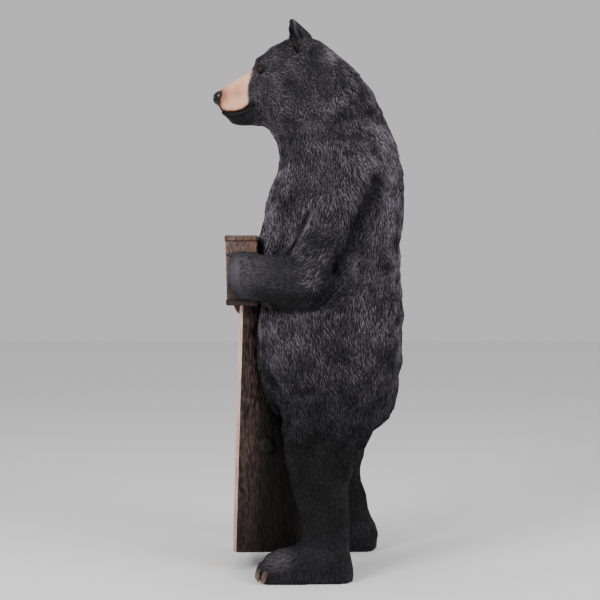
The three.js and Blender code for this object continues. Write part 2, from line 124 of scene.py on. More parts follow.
def add_node(tree, kind, inputs, out=None, stops=(), **settings):
    """Adds a node with its settings and links. An input is given a value, a hex colour or a socket."""
    node = tree.nodes.new("ShaderNode" + kind)
    for name, value in settings.items():
        setattr(node, name, value)
    live = [socket for socket in node.inputs if socket.enabled]
    for key, value in inputs.items():
        socket = live[key] if isinstance(key, int) else next(s for s in live if s.name == key)
        if isinstance(value, bpy.types.NodeSocket):
            tree.links.new(value, socket)
        else:
            socket.default_value = linear(value) if isinstance(value, str) else value
    for n, (place, value) in enumerate(stops):
        point = node.color_ramp.elements[n] if n < 2 else node.color_ramp.elements.new(place)
        point.position = place
        point.color = linear(value) if isinstance(value, str) else (value, value, value, 1)
    return node.outputs[out] if out else next((s for s in node.outputs if s.enabled), None)


def painted(name, paint, *settings):
    """A material whose nodes are added by a function that returns its surface."""
    material = bpy.data.materials.new(name)
    material.use_nodes = True
    material.node_tree.nodes.clear()
    add = partial(add_node, material.node_tree)
    add("OutputMaterial", {"Surface": paint(add, *settings)})
    return material


def fur_paint(add):
    """Matt near-black paint on carved fur, dry-brushed with grey so that the raised strokes show pale, and
    painted shade in black over it where shadow falls.
    """
    place = add("TexCoord", {}, out="Object")
    patches = add("TexNoise", {"Vector": place, "Scale": 1 / (70 * MM), "Detail": 3})
    specks = add("TexNoise", {"Vector": place, "Scale": 1 / (9 * MM), "Detail": 2})
    pits = add("TexNoise", {"Vector": place, "Scale": 1 / (4 * MM), "Detail": 3})
    ridge, painted_shade = (
        add("Attribute", {}, out="Fac", attribute_name=name) for name in ("ridge", "painted_shade"))
    mottle = add("Math", {0: specks, 1: 0.5, 2: patches}, operation="MULTIPLY_ADD")
    taken = add("ValToRGB", {"Fac": mottle}, stops=((0.55, 0.3), (0.9, 1.0)))
    brushed = add("Math", {0: ridge, 1: taken}, operation="MULTIPLY")
    tone = add("ValToRGB", {"Fac": patches}, stops=((0.35, "#0b0b0d"), (0.7, "#17161a")))
    coat = add("Mix", {"Factor": brushed, "A": tone, "B": "#7c7680"}, data_type="RGBA")
    # Painted shade: black over the coat where shadow falls, thinned a little by the mottle.
    thin = add("ValToRGB", {"Fac": mottle}, stops=((0.6, 1.0), (0.95, 0.75)))
    cover = add("Math", {0: painted_shade, 1: thin}, operation="MULTIPLY")
    colour = add("Mix", {"Factor": cover, "A": coat, "B": "#060607"}, data_type="RGBA")
    relief = add("Bump", {"Height": pits, "Distance": 0.6 * MM, "Strength": 1})
    return add("BsdfPrincipled", {
        "Base Color": colour, "Roughness": 0.6, "Specular IOR Level": 0.14, "Normal": relief})


def skin_paint(add):
    """The same paint on the casting's smoother skin, with the face's colours laid on by airbrush, painted
    shade in black where shadow falls and painted sheen in grey where light catches the smooth places.
    """
    place = add("TexCoord", {}, out="Object")
    upright = add("Mapping", {"Vector": place, "Scale": (1, 1, 0.3)})
    level = add("Mapping", {"Vector": place, "Scale": (1, 0.4, 1)})
    patches = add("TexNoise", {"Vector": place, "Scale": 1 / (60 * MM), "Detail": 3})
    strokes = add("TexNoise", {"Vector": upright, "Scale": 1 / (5 * MM), "Detail": 3})
    blush = add("TexNoise", {"Vector": place, "Scale": 1 / (40 * MM), "Detail": 3})
    ragged = add("TexNoise", {"Vector": level, "Scale": 1 / (7 * MM), "Detail": 3})
    paint = add("Attribute", {}, out="Color", attribute_name="paint")
    tan_share, orange_share, black_share = (
        add("SeparateColor", {"Color": paint}, out=share) for share in ("Red", "Green", "Blue"))
    painted_shade, pale = (
        add("Attribute", {}, out="Fac", attribute_name=name) for name in ("painted_shade", "pale"))

    tone = add("ValToRGB", {"Fac": patches}, stops=((0.35, "#0b0b0d"), (0.7, "#19181c")))
    streaks = add("ValToRGB", {"Fac": strokes}, stops=((0.5, 0.0), (0.75, 0.35)))
    streaked = add("Mix", {"Factor": streaks, "A": tone, "B": "#4a464d"}, data_type="RGBA")
    # Painted shade: black over the skin where shadow falls.
    dark = add("Mix", {"Factor": painted_shade, "A": streaked, "B": "#060607"}, data_type="RGBA")
    # Painted sheen: grey streaked on where light catches the paw, the foot's top, the ear's rim and the lower
    # lip.
    brush = add("Math", {0: strokes, 1: 0.5, 2: 0.45}, operation="MULTIPLY_ADD")
    rubbed = add("Math", {0: pale, 1: brush}, operation="MULTIPLY")
    coat = add("Mix", {"Factor": rubbed, "A": dark, "B": "#6a646c"}, data_type="RGBA")

    tan = add("ValToRGB", {"Fac": blush}, stops=((0.3, "#cf9677"), (0.7, "#e3b295")))
    fringe = add("Math", {0: ragged, 1: 0.35, 2: tan_share}, operation="MULTIPLY_ADD")
    muzzle = add("ValToRGB", {"Fac": fringe}, stops=((0.47, 0.0), (0.92, 1.0)))
    masked = add("Mix", {"Factor": muzzle, "A": coat, "B": tan}, data_type="RGBA")
    warmed = add("Mix", {"Factor": orange_share, "A": masked, "B": "#8c5534"}, data_type="RGBA")
    colour = add("Mix", {"Factor": black_share, "A": warmed, "B": "#070607"}, data_type="RGBA")
    relief = add("Bump", {"Height": strokes, "Distance": 0.6 * MM, "Strength": 1})
    return add("BsdfPrincipled", {
        "Base Color": colour, "Roughness": 0.58, "Specular IOR Level": 0.16, "Normal": relief})


def gloss_enamel(add, dark, pale, roughness, grain_mm):
    """Enamel brushed on thick: near-black with faint clouds, bright where the light catches it."""
    place = add("TexCoord", {}, out="Object")
    clouds = add("TexNoise", {"Vector": place, "Scale": 1 / (grain_mm * MM), "Detail": 2})
    colour = add("ValToRGB", {"Fac": clouds}, stops=((0.4, dark), (0.7, pale)))
    relief = add("Bump", {"Height": clouds, "Distance": 0.4 * MM, "Strength": 1})
    return add("BsdfPrincipled", {
        "Base Color": colour, "Roughness": roughness, "Specular IOR Level": 0.3, "Normal": relief})


def eye_gloss(add):
    """A brown iris round a black pupil, under gloss."""
    share = add("Attribute", {}, out="Fac", attribute_name="iris")
    colour = add("ValToRGB", {"Fac": share}, stops=(
        (0.0, "#070606"), (0.34, "#0b0807"), (0.4, "#4c2a13"), (0.6, "#301a0c"), (0.75, "#0d0908")))
    return add("BsdfPrincipled", {"Base Color": colour, "Roughness": 0.1, "Specular IOR Level": 0.3})


def lid_paint(add):
    """Black paint in the folds round the eye, rubbed to brown at the edge of the lids."""
    place = add("TexCoord", {}, out="Object")
    edge = add("Attribute", {}, out="Fac", attribute_name="edge")
    clouds = add("TexNoise", {"Vector": place, "Scale": 1 / (6 * MM), "Detail": 2})
    share = add("Math", {0: edge, 1: clouds}, operation="MULTIPLY")
    colour = add("Mix", {"Factor": share, "A": "#0b0909", "B": "#38221a"}, data_type="RGBA")
    relief = add("Bump", {"Height": clouds, "Distance": 0.4 * MM, "Strength": 1})
    return add("BsdfPrincipled", {
        "Base Color": colour, "Roughness": 0.55, "Specular IOR Level": 0.15, "Normal": relief})


def horn_paint(add):
    """Tan paint over black on the toe claws, streaked along them as horn is."""
    place = add("TexCoord", {}, out="Object")
    along = add("Mapping", {"Vector": place, "Scale": (1, 0.3, 0.3)})
    streaks = add("TexNoise", {"Vector": along, "Scale": 1 / (5 * MM), "Detail": 3})
    root = add("Attribute", {}, out="Fac", attribute_name="root")
    horn = add("ValToRGB", {"Fac": streaks}, stops=((0.3, "#3b2c25"), (0.75, "#806456")))
    colour = add("Mix", {"Factor": root, "A": horn, "B": "#120e0d"}, data_type="RGBA")
    relief = add("Bump", {"Height": streaks, "Distance": 0.4 * MM, "Strength": 1})
    return add("BsdfPrincipled", {"Base Color": colour, "Roughness": 0.5, "Normal": relief})


def rough_boards(add, dark, brown, low_shade):
    """Stained boards sawn across into ribs: black in the grooves, worn to bare orange in places, and darker
    towards the bottom as painted shade.
    """
    place = add("TexCoord", {}, out="Object")
    upright = add("Mapping", {"Vector": place, "Scale": (1, 1, 0.35)})
    grain = add("TexNoise", {"Vector": upright, "Scale": 1 / (6 * MM), "Detail": 4, "Roughness": 0.6})
    blots = add("TexNoise", {"Vector": place, "Scale": 1 / (48 * MM), "Detail": 3})
    groove = add("Attribute", {}, out="Fac", attribute_name="groove")
    height = add("SeparateXYZ", {"Vector": place}, out="Z")
    stain = add("ValToRGB", {"Fac": grain}, stops=((0.35, dark), (0.68, brown)))
    worn = add("ValToRGB", {"Fac": blots}, stops=((0.5, 0.0), (0.66, 0.4)))
    bare = add("Mix", {"Factor": worn, "A": stain, "B": "#824f36"}, data_type="RGBA")
    # The groove share holds the ribs' dark grooves and the painted shadow line along the rims.
    cut = add("Math", {0: groove, 1: 0.9}, operation="MULTIPLY")
    ribbed = add("Mix", {"Factor": cut, "A": bare, "B": "#160e0b"}, data_type="RGBA")
    # Painted shade: darker towards the bottom of the box and of its bracket, which lie in shadow.
    low = add("MapRange", {
        "Value": height, "From Min": 0.90, "From Max": 1.05, "To Min": low_shade, "To Max": 0.0})
    colour = add("Mix", {"Factor": low, "A": ribbed, "B": "#130c0a"}, data_type="RGBA")
    relief = add("Bump", {"Height": grain, "Distance": 1.2 * MM, "Strength": 1})
    return add("BsdfPrincipled", {
        "Base Color": colour, "Roughness": 0.75, "Specular IOR Level": 0.3, "Normal": relief})


def bark_and_face(add):
    """Dark furrowed bark, and a pale sawn face with upright grain that goes darker towards the bottom;
    painted shade in black over the bark towards the back and the foot.
    """
    place = add("TexCoord", {}, out="Object")
    upright = add("Mapping", {"Vector": place, "Scale": (1, 1, 0.16)})
    drawn_out = add("Mapping", {"Vector": place, "Scale": (1, 1, 0.07)})
    furrows = add("TexNoise", {"Vector": upright, "Scale": 1 / (4 * MM), "Detail": 4, "Roughness": 0.6})
    grain = add("TexNoise", {"Vector": drawn_out, "Scale": 1 / (6 * MM), "Detail": 4})
    bare, height, stood, painted_shade = (
        add("Attribute", {}, out="Fac", attribute_name=name)
        for name in ("bare", "height", "relief", "painted_shade"))

    raised = add("Math", {0: stood, 1: 0.5, 2: 0.03}, operation="MULTIPLY_ADD")
    texture = add("Math", {0: furrows, 1: 0.6, 2: raised}, operation="MULTIPLY_ADD")
    rough = add("ValToRGB", {"Fac": texture}, stops=(
        (0.38, "#120c0a"), (0.56, "#2f2220"), (0.78, "#5c4740")))
    # Painted shade: black over the bark where it lies in shadow behind the front and towards the foot.
    bark = add("Mix", {"Factor": painted_shade, "A": rough, "B": "#070504"}, data_type="RGBA")
    sawn = add("ValToRGB", {"Fac": grain}, stops=((0.35, "#c79f90"), (0.7, "#ecd2c5")))
    # The sawn face is darker towards the bottom.
    darker_below = add("ValToRGB", {"Fac": height}, stops=((0.0, 0.6), (0.85, 0.0)))
    face = add("Mix", {"Factor": darker_below, "A": sawn, "B": "#8d6252"}, data_type="RGBA")
    fringe = add("Math", {0: furrows, 1: 0.5, 2: bare}, operation="MULTIPLY_ADD")
    shown = add("ValToRGB", {"Fac": fringe}, stops=((0.7, 0.0), (0.8, 1.0)))
    colour = add("Mix", {"Factor": shown, "A": bark, "B": face}, data_type="RGBA")
    lined = add("Math", {0: grain, 1: 0.3, 2: furrows}, operation="MULTIPLY_ADD")
    relief = add("Bump", {"Height": lined, "Distance": 1.4 * MM, "Strength": 1})
    return add("BsdfPrincipled", {
        "Base Color": colour, "Roughness": 0.85, "Specular IOR Level": 0.25, "Normal": relief})


def studio_paper(add):
    """Plain pale paper under the figure."""
    return add("BsdfPrincipled", {"Base Color": "#f2f2f2", "Roughness": 0.9})


FUR = painted("painted_resin_fur", fur_paint)
SKIN = painted("painted_resin_skin", skin_paint)
LID = painted("painted_eyelid", lid_paint)
NOSE = painted("gloss_black_enamel", gloss_enamel, "#0b0b0d", "#19181b", 0.25, 3)
PAW_CLAW = painted("dark_horn_gloss", gloss_enamel, "#0d0c0d", "#262324", 0.22, 5)
EYE = painted("gloss_painted_eye", eye_gloss)
TOE_CLAW = painted("tan_horn_paint", horn_paint)
BOARDS = painted("rough_sawn_stained_wood", rough_boards, "#3c2c27", "#806860", 0.7)
BRACKET = painted("stained_bracket_wood", rough_boards, "#33241d", "#5f463a", 0.15)
LOG = painted("bark_and_sawn_pine", bark_and_face)


# The bear's skin

SKIN_VOXEL = 6.9 * MM
SKIN_SMOOTHING = 16
# The face, which is cut finer, is above this height and ahead of this y.
FACE_ABOVE = 1470
FACE_AHEAD = -90


def arrays_of(mesh):
    """The mesh's corners and edges as arrays."""
    co = np.empty(len(mesh.vertices) * 3)
    mesh.vertices.foreach_get("co", co)
    edges = np.empty(len(mesh.edges) * 2, int)
    mesh.edges.foreach_get("vertices", edges)
    return co.reshape(-1, 3), edges.reshape(-1, 2)


def normals_of(mesh):
    n = np.empty(len(mesh.vertices) * 3)
    mesh.vertex_normals.foreach_get("vector", n)
    return n.reshape(-1, 3)


def figure_mm(co):
    """Positions in the figure's own millimetres, with the right side folded onto the left."""
    p = (co - np.array(ORIGIN)) / MM
    return np.column_stack((np.abs(p[:, 0]), p[:, 1], p[:, 2]))


def smooth_step(low, high, value):
    """0 at low and beyond it, 1 at high and beyond it, and smooth between."""
    t = np.clip((value - low) / (high - low), 0, 1)
    return t * t * (3 - 2 * t)


def near(p, centre, radii):
    """1 at the centre of an ellipsoid, falling smoothly to 0 at its surface."""
    return 1 - smooth_step(0, 1, np.linalg.norm((p - np.array(centre)) / np.array(radii), axis=1))


def evened(co, edges, weight, rounds):
    """Smooths the corners without shrinking the form, by a step in and a step back out."""
    count = np.bincount(edges.ravel(), minlength=len(co))[:, None]
    for n in range(2 * rounds):
        total = np.empty_like(co)
        for axis in range(3):
            total[:, axis] = (np.bincount(edges[:, 0], co[edges[:, 1], axis], len(co))
                              + np.bincount(edges[:, 1], co[edges[:, 0], axis], len(co)))
        step = 0.52 if n % 2 == 0 else -0.54
        co = co + (total / count - co) * step * weight[:, None]
    return co


# Where the mouth runs, from under the nose back to its corner.
MOUTH = [(0, -268, 1520), (20, -260, 1512), (34, -243, 1505), (44, -215, 1504), (52, -190, 1509),
         (57, -172, 1520), (62, -155, 1532), (66, -145, 1534)]
MOUTH_CORNER = (64, -157, 1525)
EYE_AT = (70, -127, 1643)
NOSE_AT = (0, -262, 1560)
NOSE_RADII = (35, 26.5, 30)
NOSE_TURN = 20


def along_line(p, points):
    """Distance from each position to a line through points."""
    best = np.full(len(p), 1e9)
    for a, b in zip(points[:-1], points[1:]):
        a, b = np.array(a, float), np.array(b, float)
        t = np.clip(((p - a) @ (b - a)) / ((b - a) @ (b - a)), 0, 1)
        best = np.minimum(best, np.linalg.norm(p - a - t[:, None] * (b - a), axis=1))
    return best


def across_side(p, points):
    """Distance from each position to a line of (y, z) points, as seen from the side."""
    return along_line(p[:, 1:], points)


# Hollows between the forms, as seen from the side: [line of (y, z), how wide, how deep, least x].
CREASES = [
    ([(236, 1265), (205, 1190), (172, 1120), (140, 1050), (112, 985)], 40, 22, 150),
    ([(26, 1172), (9, 1116), (-14, 1074), (-36, 1040)], 10, 5, 120),
    ([(112, 985), (110, 925), (84, 882), (29, 862), (-38, 853), (-74, 861), (-150, 874)], 26, 13, 130),
    ([(-66, 500), (-48, 556), (-6, 592), (52, 604)], 30, 6, 110),
]

# Where black is painted over the coat as shade, in the hollows and under the forms where shadow falls: [line
# of (y, z), solid within, gone by, least x].
PAINTED_SHADE_LINES = [
    ([(236, 1265), (205, 1190), (172, 1120), (140, 1050), (112, 985)], 8, 46, 150),
    ([(-122, 620), (-95, 570), (-75, 505), (-60, 430)], 40, 66, 0),
    ([(26, 1172), (9, 1116), (-14, 1074), (-36, 1040)], 3, 13, 120),
]

# The forearm's lower edge, as seen from the side; black is painted as shade over the arm's underside above
# it.
UNDER_ARM = [(-150, 874), (-74, 861), (-38, 853), (29, 862), (84, 882), (112, 930)]

# The ear's opening, as a dark line seen from the side and as a hollow seen from ahead.
EAR_OPENING = [(-33, 1785), (-29, 1760), (-21, 1735), (-12, 1712), (-6, 1696)]
EAR_HOLLOW = (82, -34, 1748)
EAR_RIM = [(-20, 1796), (-15, 1765), (-3, 1732)]


def ear_opening(p, ahead=0):
    away = across_side(p, [(y + ahead, z) for y, z in EAR_OPENING])
    return np.where((p[:, 0] > 76) & (p[:, 2] > 1685), away, 99.0)


# The paws reach to just short of the box's front, and hold the box between them.
PAW_FRONT = -229
PAW_INSIDE = BOX_HIGH.x + 0.5
# A paw is all that is past this x, ahead of this y and this near to the claws' row in height.
PAW_REGION = (150, -140, 120)
# The claws up each paw: where their row is, and each one's [height over it, how deep its root is].
CLAW_ROW = (196, 967)
FINGERS = ((67, 10), (35, 16), (3, 17), (-29, 17), (-57, 13))

# Fuller forms: [place, radii, which way, how far].
SWELLS = [
    ((0, -190, 1625), (48, 60, 34), (0, -0.35, 1), 3),
    ((0, -148, 1660), (62, 38, 32), (0, -1, 0.2), 6),
    ((20, -146, 1684), (60, 34, 26), (0, -1, 0.2), 5),
    ((0, -262, 1527), (60, 30, 24), (0, 1, 0), 7),
    ((198, -205, 967), (60, 62, 105), (0, -1, 0), 13),
    ((200, -205, 1026), (60, 48, 42), (0, -0.7, 0.7), 9),
    ((200, -222, 1004), (62, 50, 34), (0, -1, 0), 10),
    ((172, -196, 967), (50, 70, 100), (-1, 0, 0), 16),
    ((200, -218, 930), (62, 46, 40), (0, -1, 0), 6),
    ((212, -135, 1042), (70, 62, 40), (0, 0, 1), 9),
    ((0, -212, 1486), (52, 62, 30), (0, -0.3, -1), 11),
    ((0, -252, 1491), (52, 34, 20), (0, 1, 0), 6),
    ((20, -74, 1750), (90, 54, 44), (0, 0.5, -0.8), 7),
    ((0, -160, 1478), (60, 60, 28), (0, 0, -1), 6),
    ((0, -92, 1440), (90, 60, 70), (0, -1, 0), 7),
    ((152, -92, 1062), (70, 60, 90), (0.3, -1, 0), 12),
    ((90, -95, 1060), (90, 60, 80), (0, -1, 0), 7),
]


def sculpt(co, normals):
    """Carves the face and the hollows between the limbs, and draws the ears up to a point."""
    p = figure_mm(co)
    x, y, z = p.T
    mouth = 1 - smooth_step(0, 8, along_line(p, MOUTH))
    lip = 1 - smooth_step(0, 15, along_line(p, [(x, y, z + 14) for x, y, z in MOUTH]))
    eye = near(p, EYE_AT, (30, 30, 24))
    lid = near(p, (68, -132, 1655), (20, 20, 10)) + 0.6 * near(p, (72, -130, 1631), (18, 18, 8))
    pad = near(p, NOSE_AT, (48, 38, 42))
    move = -8 * mouth + 2.5 * lip - 4 * eye + 3 * lid - 20 * pad
    for line, wide, deep, least in CREASES:
        within = 1 - smooth_step(0, wide, across_side(p, line))
        move -= deep * within * smooth_step(least - 20, least, x)
    move -= 7 * (1 - smooth_step(0, 10, ear_opening(p)))
    move -= 12 * near(p, EAR_HOLLOW, (26, 24, 38))
    out = normals * move[:, None]
    side = np.where(co[:, 0] < ORIGIN.x, -1.0, 1.0)
    for place, radii, way, far in SWELLS:
        push = near(p, place, radii)[:, None] * far * np.array(way) / np.linalg.norm(way)
        push[:, 0] *= side
        out += push
    past, ahead, near_row = PAW_REGION
    paw = (x > past) & (y < ahead) & (np.abs(z - CLAW_ROW[1]) < near_row)
    out[:, 1] = np.where(paw, np.maximum(out[:, 1], PAW_FRONT - y), out[:, 1])
    outward = np.maximum(out[:, 0] * side, PAW_INSIDE - x)
    out[:, 0] = np.where(paw, outward * side, out[:, 0])
    tip = smooth_step(1738, 1800, z) * (x > 45)
    out[:, 1] += tip * (-0.35 * (y + 24) - 11)
    out[:, 2] += 12 * tip ** 2
    back_leg = (side < 0) * smooth_step(190, 220, y) * smooth_step(20, 60, z)
    out[:, 1] += 8 * back_leg * smooth_step(400, 330, z)
    return co + out * MM


def lip_height(p):
    """How far each position is above the edge of the upper lip."""
    back = (140, 155, 172, 190, 215, 243, 260, 270)
    height = (1541, 1532, 1520, 1509, 1504, 1505, 1512, 1524)
    return p[:, 2] - np.interp(-p[:, 1], back, height)


def in_mask(p):
    """How far each position is ahead of the back edge of the tan mask."""
    edge = np.interp(p[:, 2], (1500, 1537, 1573, 1600, 1620, 1647, 1670), (172, 167, 171, 168, 160, 154, 168))
    return -p[:, 1] - edge


def face_paint(p):
    """Shares of muzzle tan, orange airbrush and black at each position."""
    x, y, z = p.T
    above = lip_height(p)
    across = (x / 74) ** 2 + ((z - 1578) / 88) ** 2
    fade = np.interp(z, (1590, 1640), (1.0, 2.4))
    muzzle = smooth_step(-10, 12, in_mask(p) / fade) * smooth_step(1.15, 0.85, across)
    muzzle *= smooth_step(-1, 9, above)
    nose = near(p, NOSE_AT, (110, 49, 52))
    lip = (1 - smooth_step(2, 18, np.abs(above - 2))) * (in_mask(p) > -20)
    middle = near(p, (50, -205, 1570), (60, 44, 24)) * 0.35
    orange = np.clip(1.5 * nose + 0.7 * lip + middle, 0, 0.85) * muzzle
    corners = near(p, EYE_AT, (24, 26, 22)) * 0.14
    spots = (1 - smooth_step(1, 7, ear_opening(p, -2))) * smooth_step(1705, 1720, z) * smooth_step(
        1768, 1750, z) * (0.6 + 0.4 * np.sin(z / 3.2))
    orange = np.clip(orange + corners + 0.7 * spots, 0, 1)

    mouth = (1 - smooth_step(5, 11, across_side(p, [(y, z) for x, y, z in MOUTH]))) * (x < 76)
    corner = near(p, MOUTH_CORNER, (34, 17, 12)) * 3
    under_lip = smooth_step(3, -2, above) * smooth_step(-20, -12, above) * smooth_step(140, 150, -y)
    groove = smooth_step(14, 7, x) * smooth_step(232, 244, -y) * smooth_step(1562, 1552, z)
    groove += 0.85 * smooth_step(256, 265, -y) * smooth_step(1556, 1544, z)
    pad = smooth_step(0.12, 0.35, near(p, NOSE_AT, (46, 40, 42)))
    jaw = 0.15 * smooth_step(120, 160, -y) * smooth_step(5, -4, above) * (z > 1440)
    socket = near(p, (72, -134, 1650), (22, 16, 16)) * 0.9
    claws = sum(near(p, (CLAW_ROW[0], -226, CLAW_ROW[1] + height), (18, 17, 11)) for height, _ in FINGERS)
    inside = 1 - smooth_step(5, 12, ear_opening(p))
    hollow = smooth_step(0.1, 0.5, near(p, EAR_HOLLOW, (30, 26, 42)))
    black = np.clip(mouth + corner + under_lip + groove + pad + jaw + socket + 2 * claws + 0.75 * inside
                    + 0.8 * hollow, 0, 1)
    return np.column_stack((muzzle, orange, black * (1 - 0.9 * spots)))


def painted_shade_share(p):
    """Share of black painted over the coat as shade where shadow falls: in the hollows, under the arms and
    from the hips down.
    """
    x, y, z = p.T
    share = np.interp(z, (0, 110, 200, 420, 600, 800, 960), (0.3, 0.55, 0.95, 0.97, 0.6, 0.1, 0))
    for line, solid, gone, least in PAINTED_SHADE_LINES:
        here = (1 - smooth_step(solid, gone, across_side(p, line))) * smooth_step(least - 20, least, x)
        share = np.maximum(share, 0.93 * here)
    above = z - np.interp(y, *zip(*UNDER_ARM))
    under = smooth_step(-12, 3, above) * smooth_step(78, 40, above) * smooth_step(130, 150, x)
    ends = smooth_step(-185, -110, y) * smooth_step(135, 105, y)
    return np.maximum(share, 0.93 * under * ends)


def painted_sheen_share(p):
    """Share of painted sheen, grey laid on as highlight where light falls on smooth places: the paw, the
    foot's top, the ear's rim and the lower lip.
    """
    paw = 0.75 * near(p, (225, -168, 985), (110, 124, 90))
    foot = 0.8 * near(p, (225, -70, 75), (110, 90, 60))
    rim = 0.5 * (1 - smooth_step(1, 6, across_side(p, EAR_RIM))) * smooth_step(95, 105, p[:, 0])
    lip = near(p, (0, -238, 1497), (60, 22, 12)) * 0.8
    return np.clip(paw + foot + rim + lip, 0, 1)


def give(mesh, name, values):
    """Puts a number on each of the mesh's corners for a material to read."""
    layer = mesh.attributes.new(name, "FLOAT", "POINT")
    layer.data.foreach_set("value", np.asarray(values, np.float32).ravel())


def voxels(node, size):
    """The node's form in even voxels, as a new mesh."""
    source = in_scene("voxel_source", mesh_of(node_copy(node)))
    remesh = source.modifiers.new("voxels", "REMESH")
    remesh.mode = "VOXEL"
    remesh.voxel_size = size
    mesh = applied(source)
    bpy.data.objects.remove(source)
    return mesh


def bear_skin():
    mesh = voxels("bear", SKIN_VOXEL)
    co, edges = arrays_of(mesh)
    p = figure_mm(co)
    fine = np.clip(near(p, (104, 0, 1740), (70, 80, 85)) + near(p, (200, -190, 967), (70, 75, 115))
                   + smooth_step(-70, -110, p[:, 1]) * smooth_step(140, 90, p[:, 2])
                   + smooth_step(0.5, 0, p[:, 2]), 0, 1)
    set_corners(mesh, evened(co, edges, 1 - 0.92 * fine, SKIN_SMOOTHING))

    bm = bmesh.new()
    bm.from_mesh(mesh)
    bm.normal_update()
    face_edges = []
    for e in bm.edges:
        middle = (e.verts[0].co + e.verts[1].co) / 2 - ORIGIN
        if middle.z > FACE_ABOVE * MM and middle.y < FACE_AHEAD * MM:
            face_edges.append(e)
    bmesh.ops.subdivide_edges(bm, edges=face_edges, cuts=1, use_grid_fill=True)
    bm.to_mesh(mesh)
    bm.free()

    co, edges = arrays_of(mesh)
    p = figure_mm(co)
    co = evened(co, edges, smooth_step(-80, -110, p[:, 1]) * (p[:, 2] > 1450), 3)
    set_corners(mesh, co)
    co = sculpt(co, normals_of(mesh))
    floor = co[:, 2] < 0.2 * MM
    co[floor, 2] = 0.0
    set_corners(mesh, co)

    p = figure_mm(co)
    paint = mesh.color_attributes.new("paint", "FLOAT_COLOR", "POINT")
    colours = np.column_stack((face_paint(p), np.ones(len(co))))
    paint.data.foreach_set("color", colours.ravel())
    give(mesh, "painted_shade", painted_shade_share(p))
    give(mesh, "pale", painted_sheen_share(p))
    return finished("bear_skin", mesh, SKIN, ("bear",))


skin = bear_skin()


# Fur, as carved strokes that lie along the coat

# Which way the coat lies: [place on the left side, direction], in the figure's millimetres.
COAT = [
    ((0, -140, 1650), (0, 0.75, 0.65)),
    ((70, -120, 1690), (0.1, 0.8, 0.55)),
    ((60, -40, 1745), (0.1, 1, 0.1)),
    ((70, 90, 1720), (0, 0.85, -0.5)),
    ((120, -90, 1600), (0.1, 0.85, -0.5)),
    ((125, -60, 1520), (0, 0.6, -0.8)),
    ((130, 30, 1640), (0, 0.6, -0.8)),
    ((120, 150, 1600), (0, 0.5, -0.86)),
    ((70, -90, 1450), (0.2, 0.3, -0.95)),
    ((60, 250, 1500), (0, 0.4, -0.9)),
    ((150, 60, 1480), (0.1, 0.25, -0.97)),
    ((160, 200, 1430), (0, 0.3, -0.95)),
    ((90, -80, 1350), (0, -0.12, -1)),
    ((170, 40, 1350), (0.2, 0.3, -0.95)),
    ((200, 180, 1300), (0.1, 0.28, -0.95)),
    ((90, 330, 1300), (0, 0.1, -1)),
    ((100, -110, 1180), (0, -0.2, -1)),
    ((150, -60, 1120), (0.1, 0.3, -1)),
    ((260, 110, 1180), (0, -0.1, -1)),
    ((290, 60, 1050), (0, -0.45, -0.9)),
    ((290, 0, 960), (0, -0.9, -0.4)),
    ((290, 90, 920), (0, -0.7, -0.6)),
    ((270, -100, 960), (0, -1, -0.05)),
    ((230, -180, 970), (0, -1, 0)),
    ((200, 280, 1100), (0, 0.08, -1)),
    ((80, 340, 1000), (0, 0.05, -1)),
    ((230, 260, 900), (0, -0.05, -1)),
    ((150, -110, 850), (0.1, 0.45, -0.9)),
    ((220, -60, 760), (0.1, 0.55, -0.85)),
    ((280, 60, 800), (0, 0.3, -0.95)),
    ((290, 150, 700), (0, 0.12, -1)),
    ((150, -120, 620), (0.1, 0.55, -0.8)),
    ((200, 300, 700), (0, -0.1, -1)),
    ((250, 0, 560), (0, 0.4, -0.9)),
    ((260, 150, 520), (0, 0.2, -1)),
    ((150, 290, 520), (0, -0.35, -0.95)),
    ((230, -40, 420), (0, 0.1, -1)),
    ((230, 120, 330), (0, 0, -1)),
    ((200, 60, 200), (0, 0, -1)),
    ((210, -60, 100), (0, -0.9, -0.4)),
    ((210, 120, 60), (0, 0.2, -1)),
]


def coat_direction(co, normals, rng):
    """The lie of the coat at each place, in the surface, with clumps that turn it a little."""
    p = figure_mm(co)
    side = np.where(co[:, 0] < ORIGIN.x, -1.0, 1.0)
    total = np.zeros_like(p)
    for place, lie in COAT:
        away = np.linalg.norm(p - np.array(place), axis=1)
        total += (1 / (away + 12) ** 3)[:, None] * np.array(lie) / np.linalg.norm(lie)
    total[:, 0] *= side
    clump = np.array([noise.noise(Vector(c) / (55 * MM)) for c in co])
    flow = total - normals * np.sum(total * normals, axis=1)[:, None]
    flow /= np.linalg.norm(flow, axis=1)[:, None] + 1e-9
    across = np.cross(normals, flow)
    turn = 0.55 * clump + rng.normal(0, 0.16, len(co))
    flow = flow * np.cos(turn)[:, None] + across * np.sin(turn)[:, None]
    return flow, np.cross(normals, flow), clump


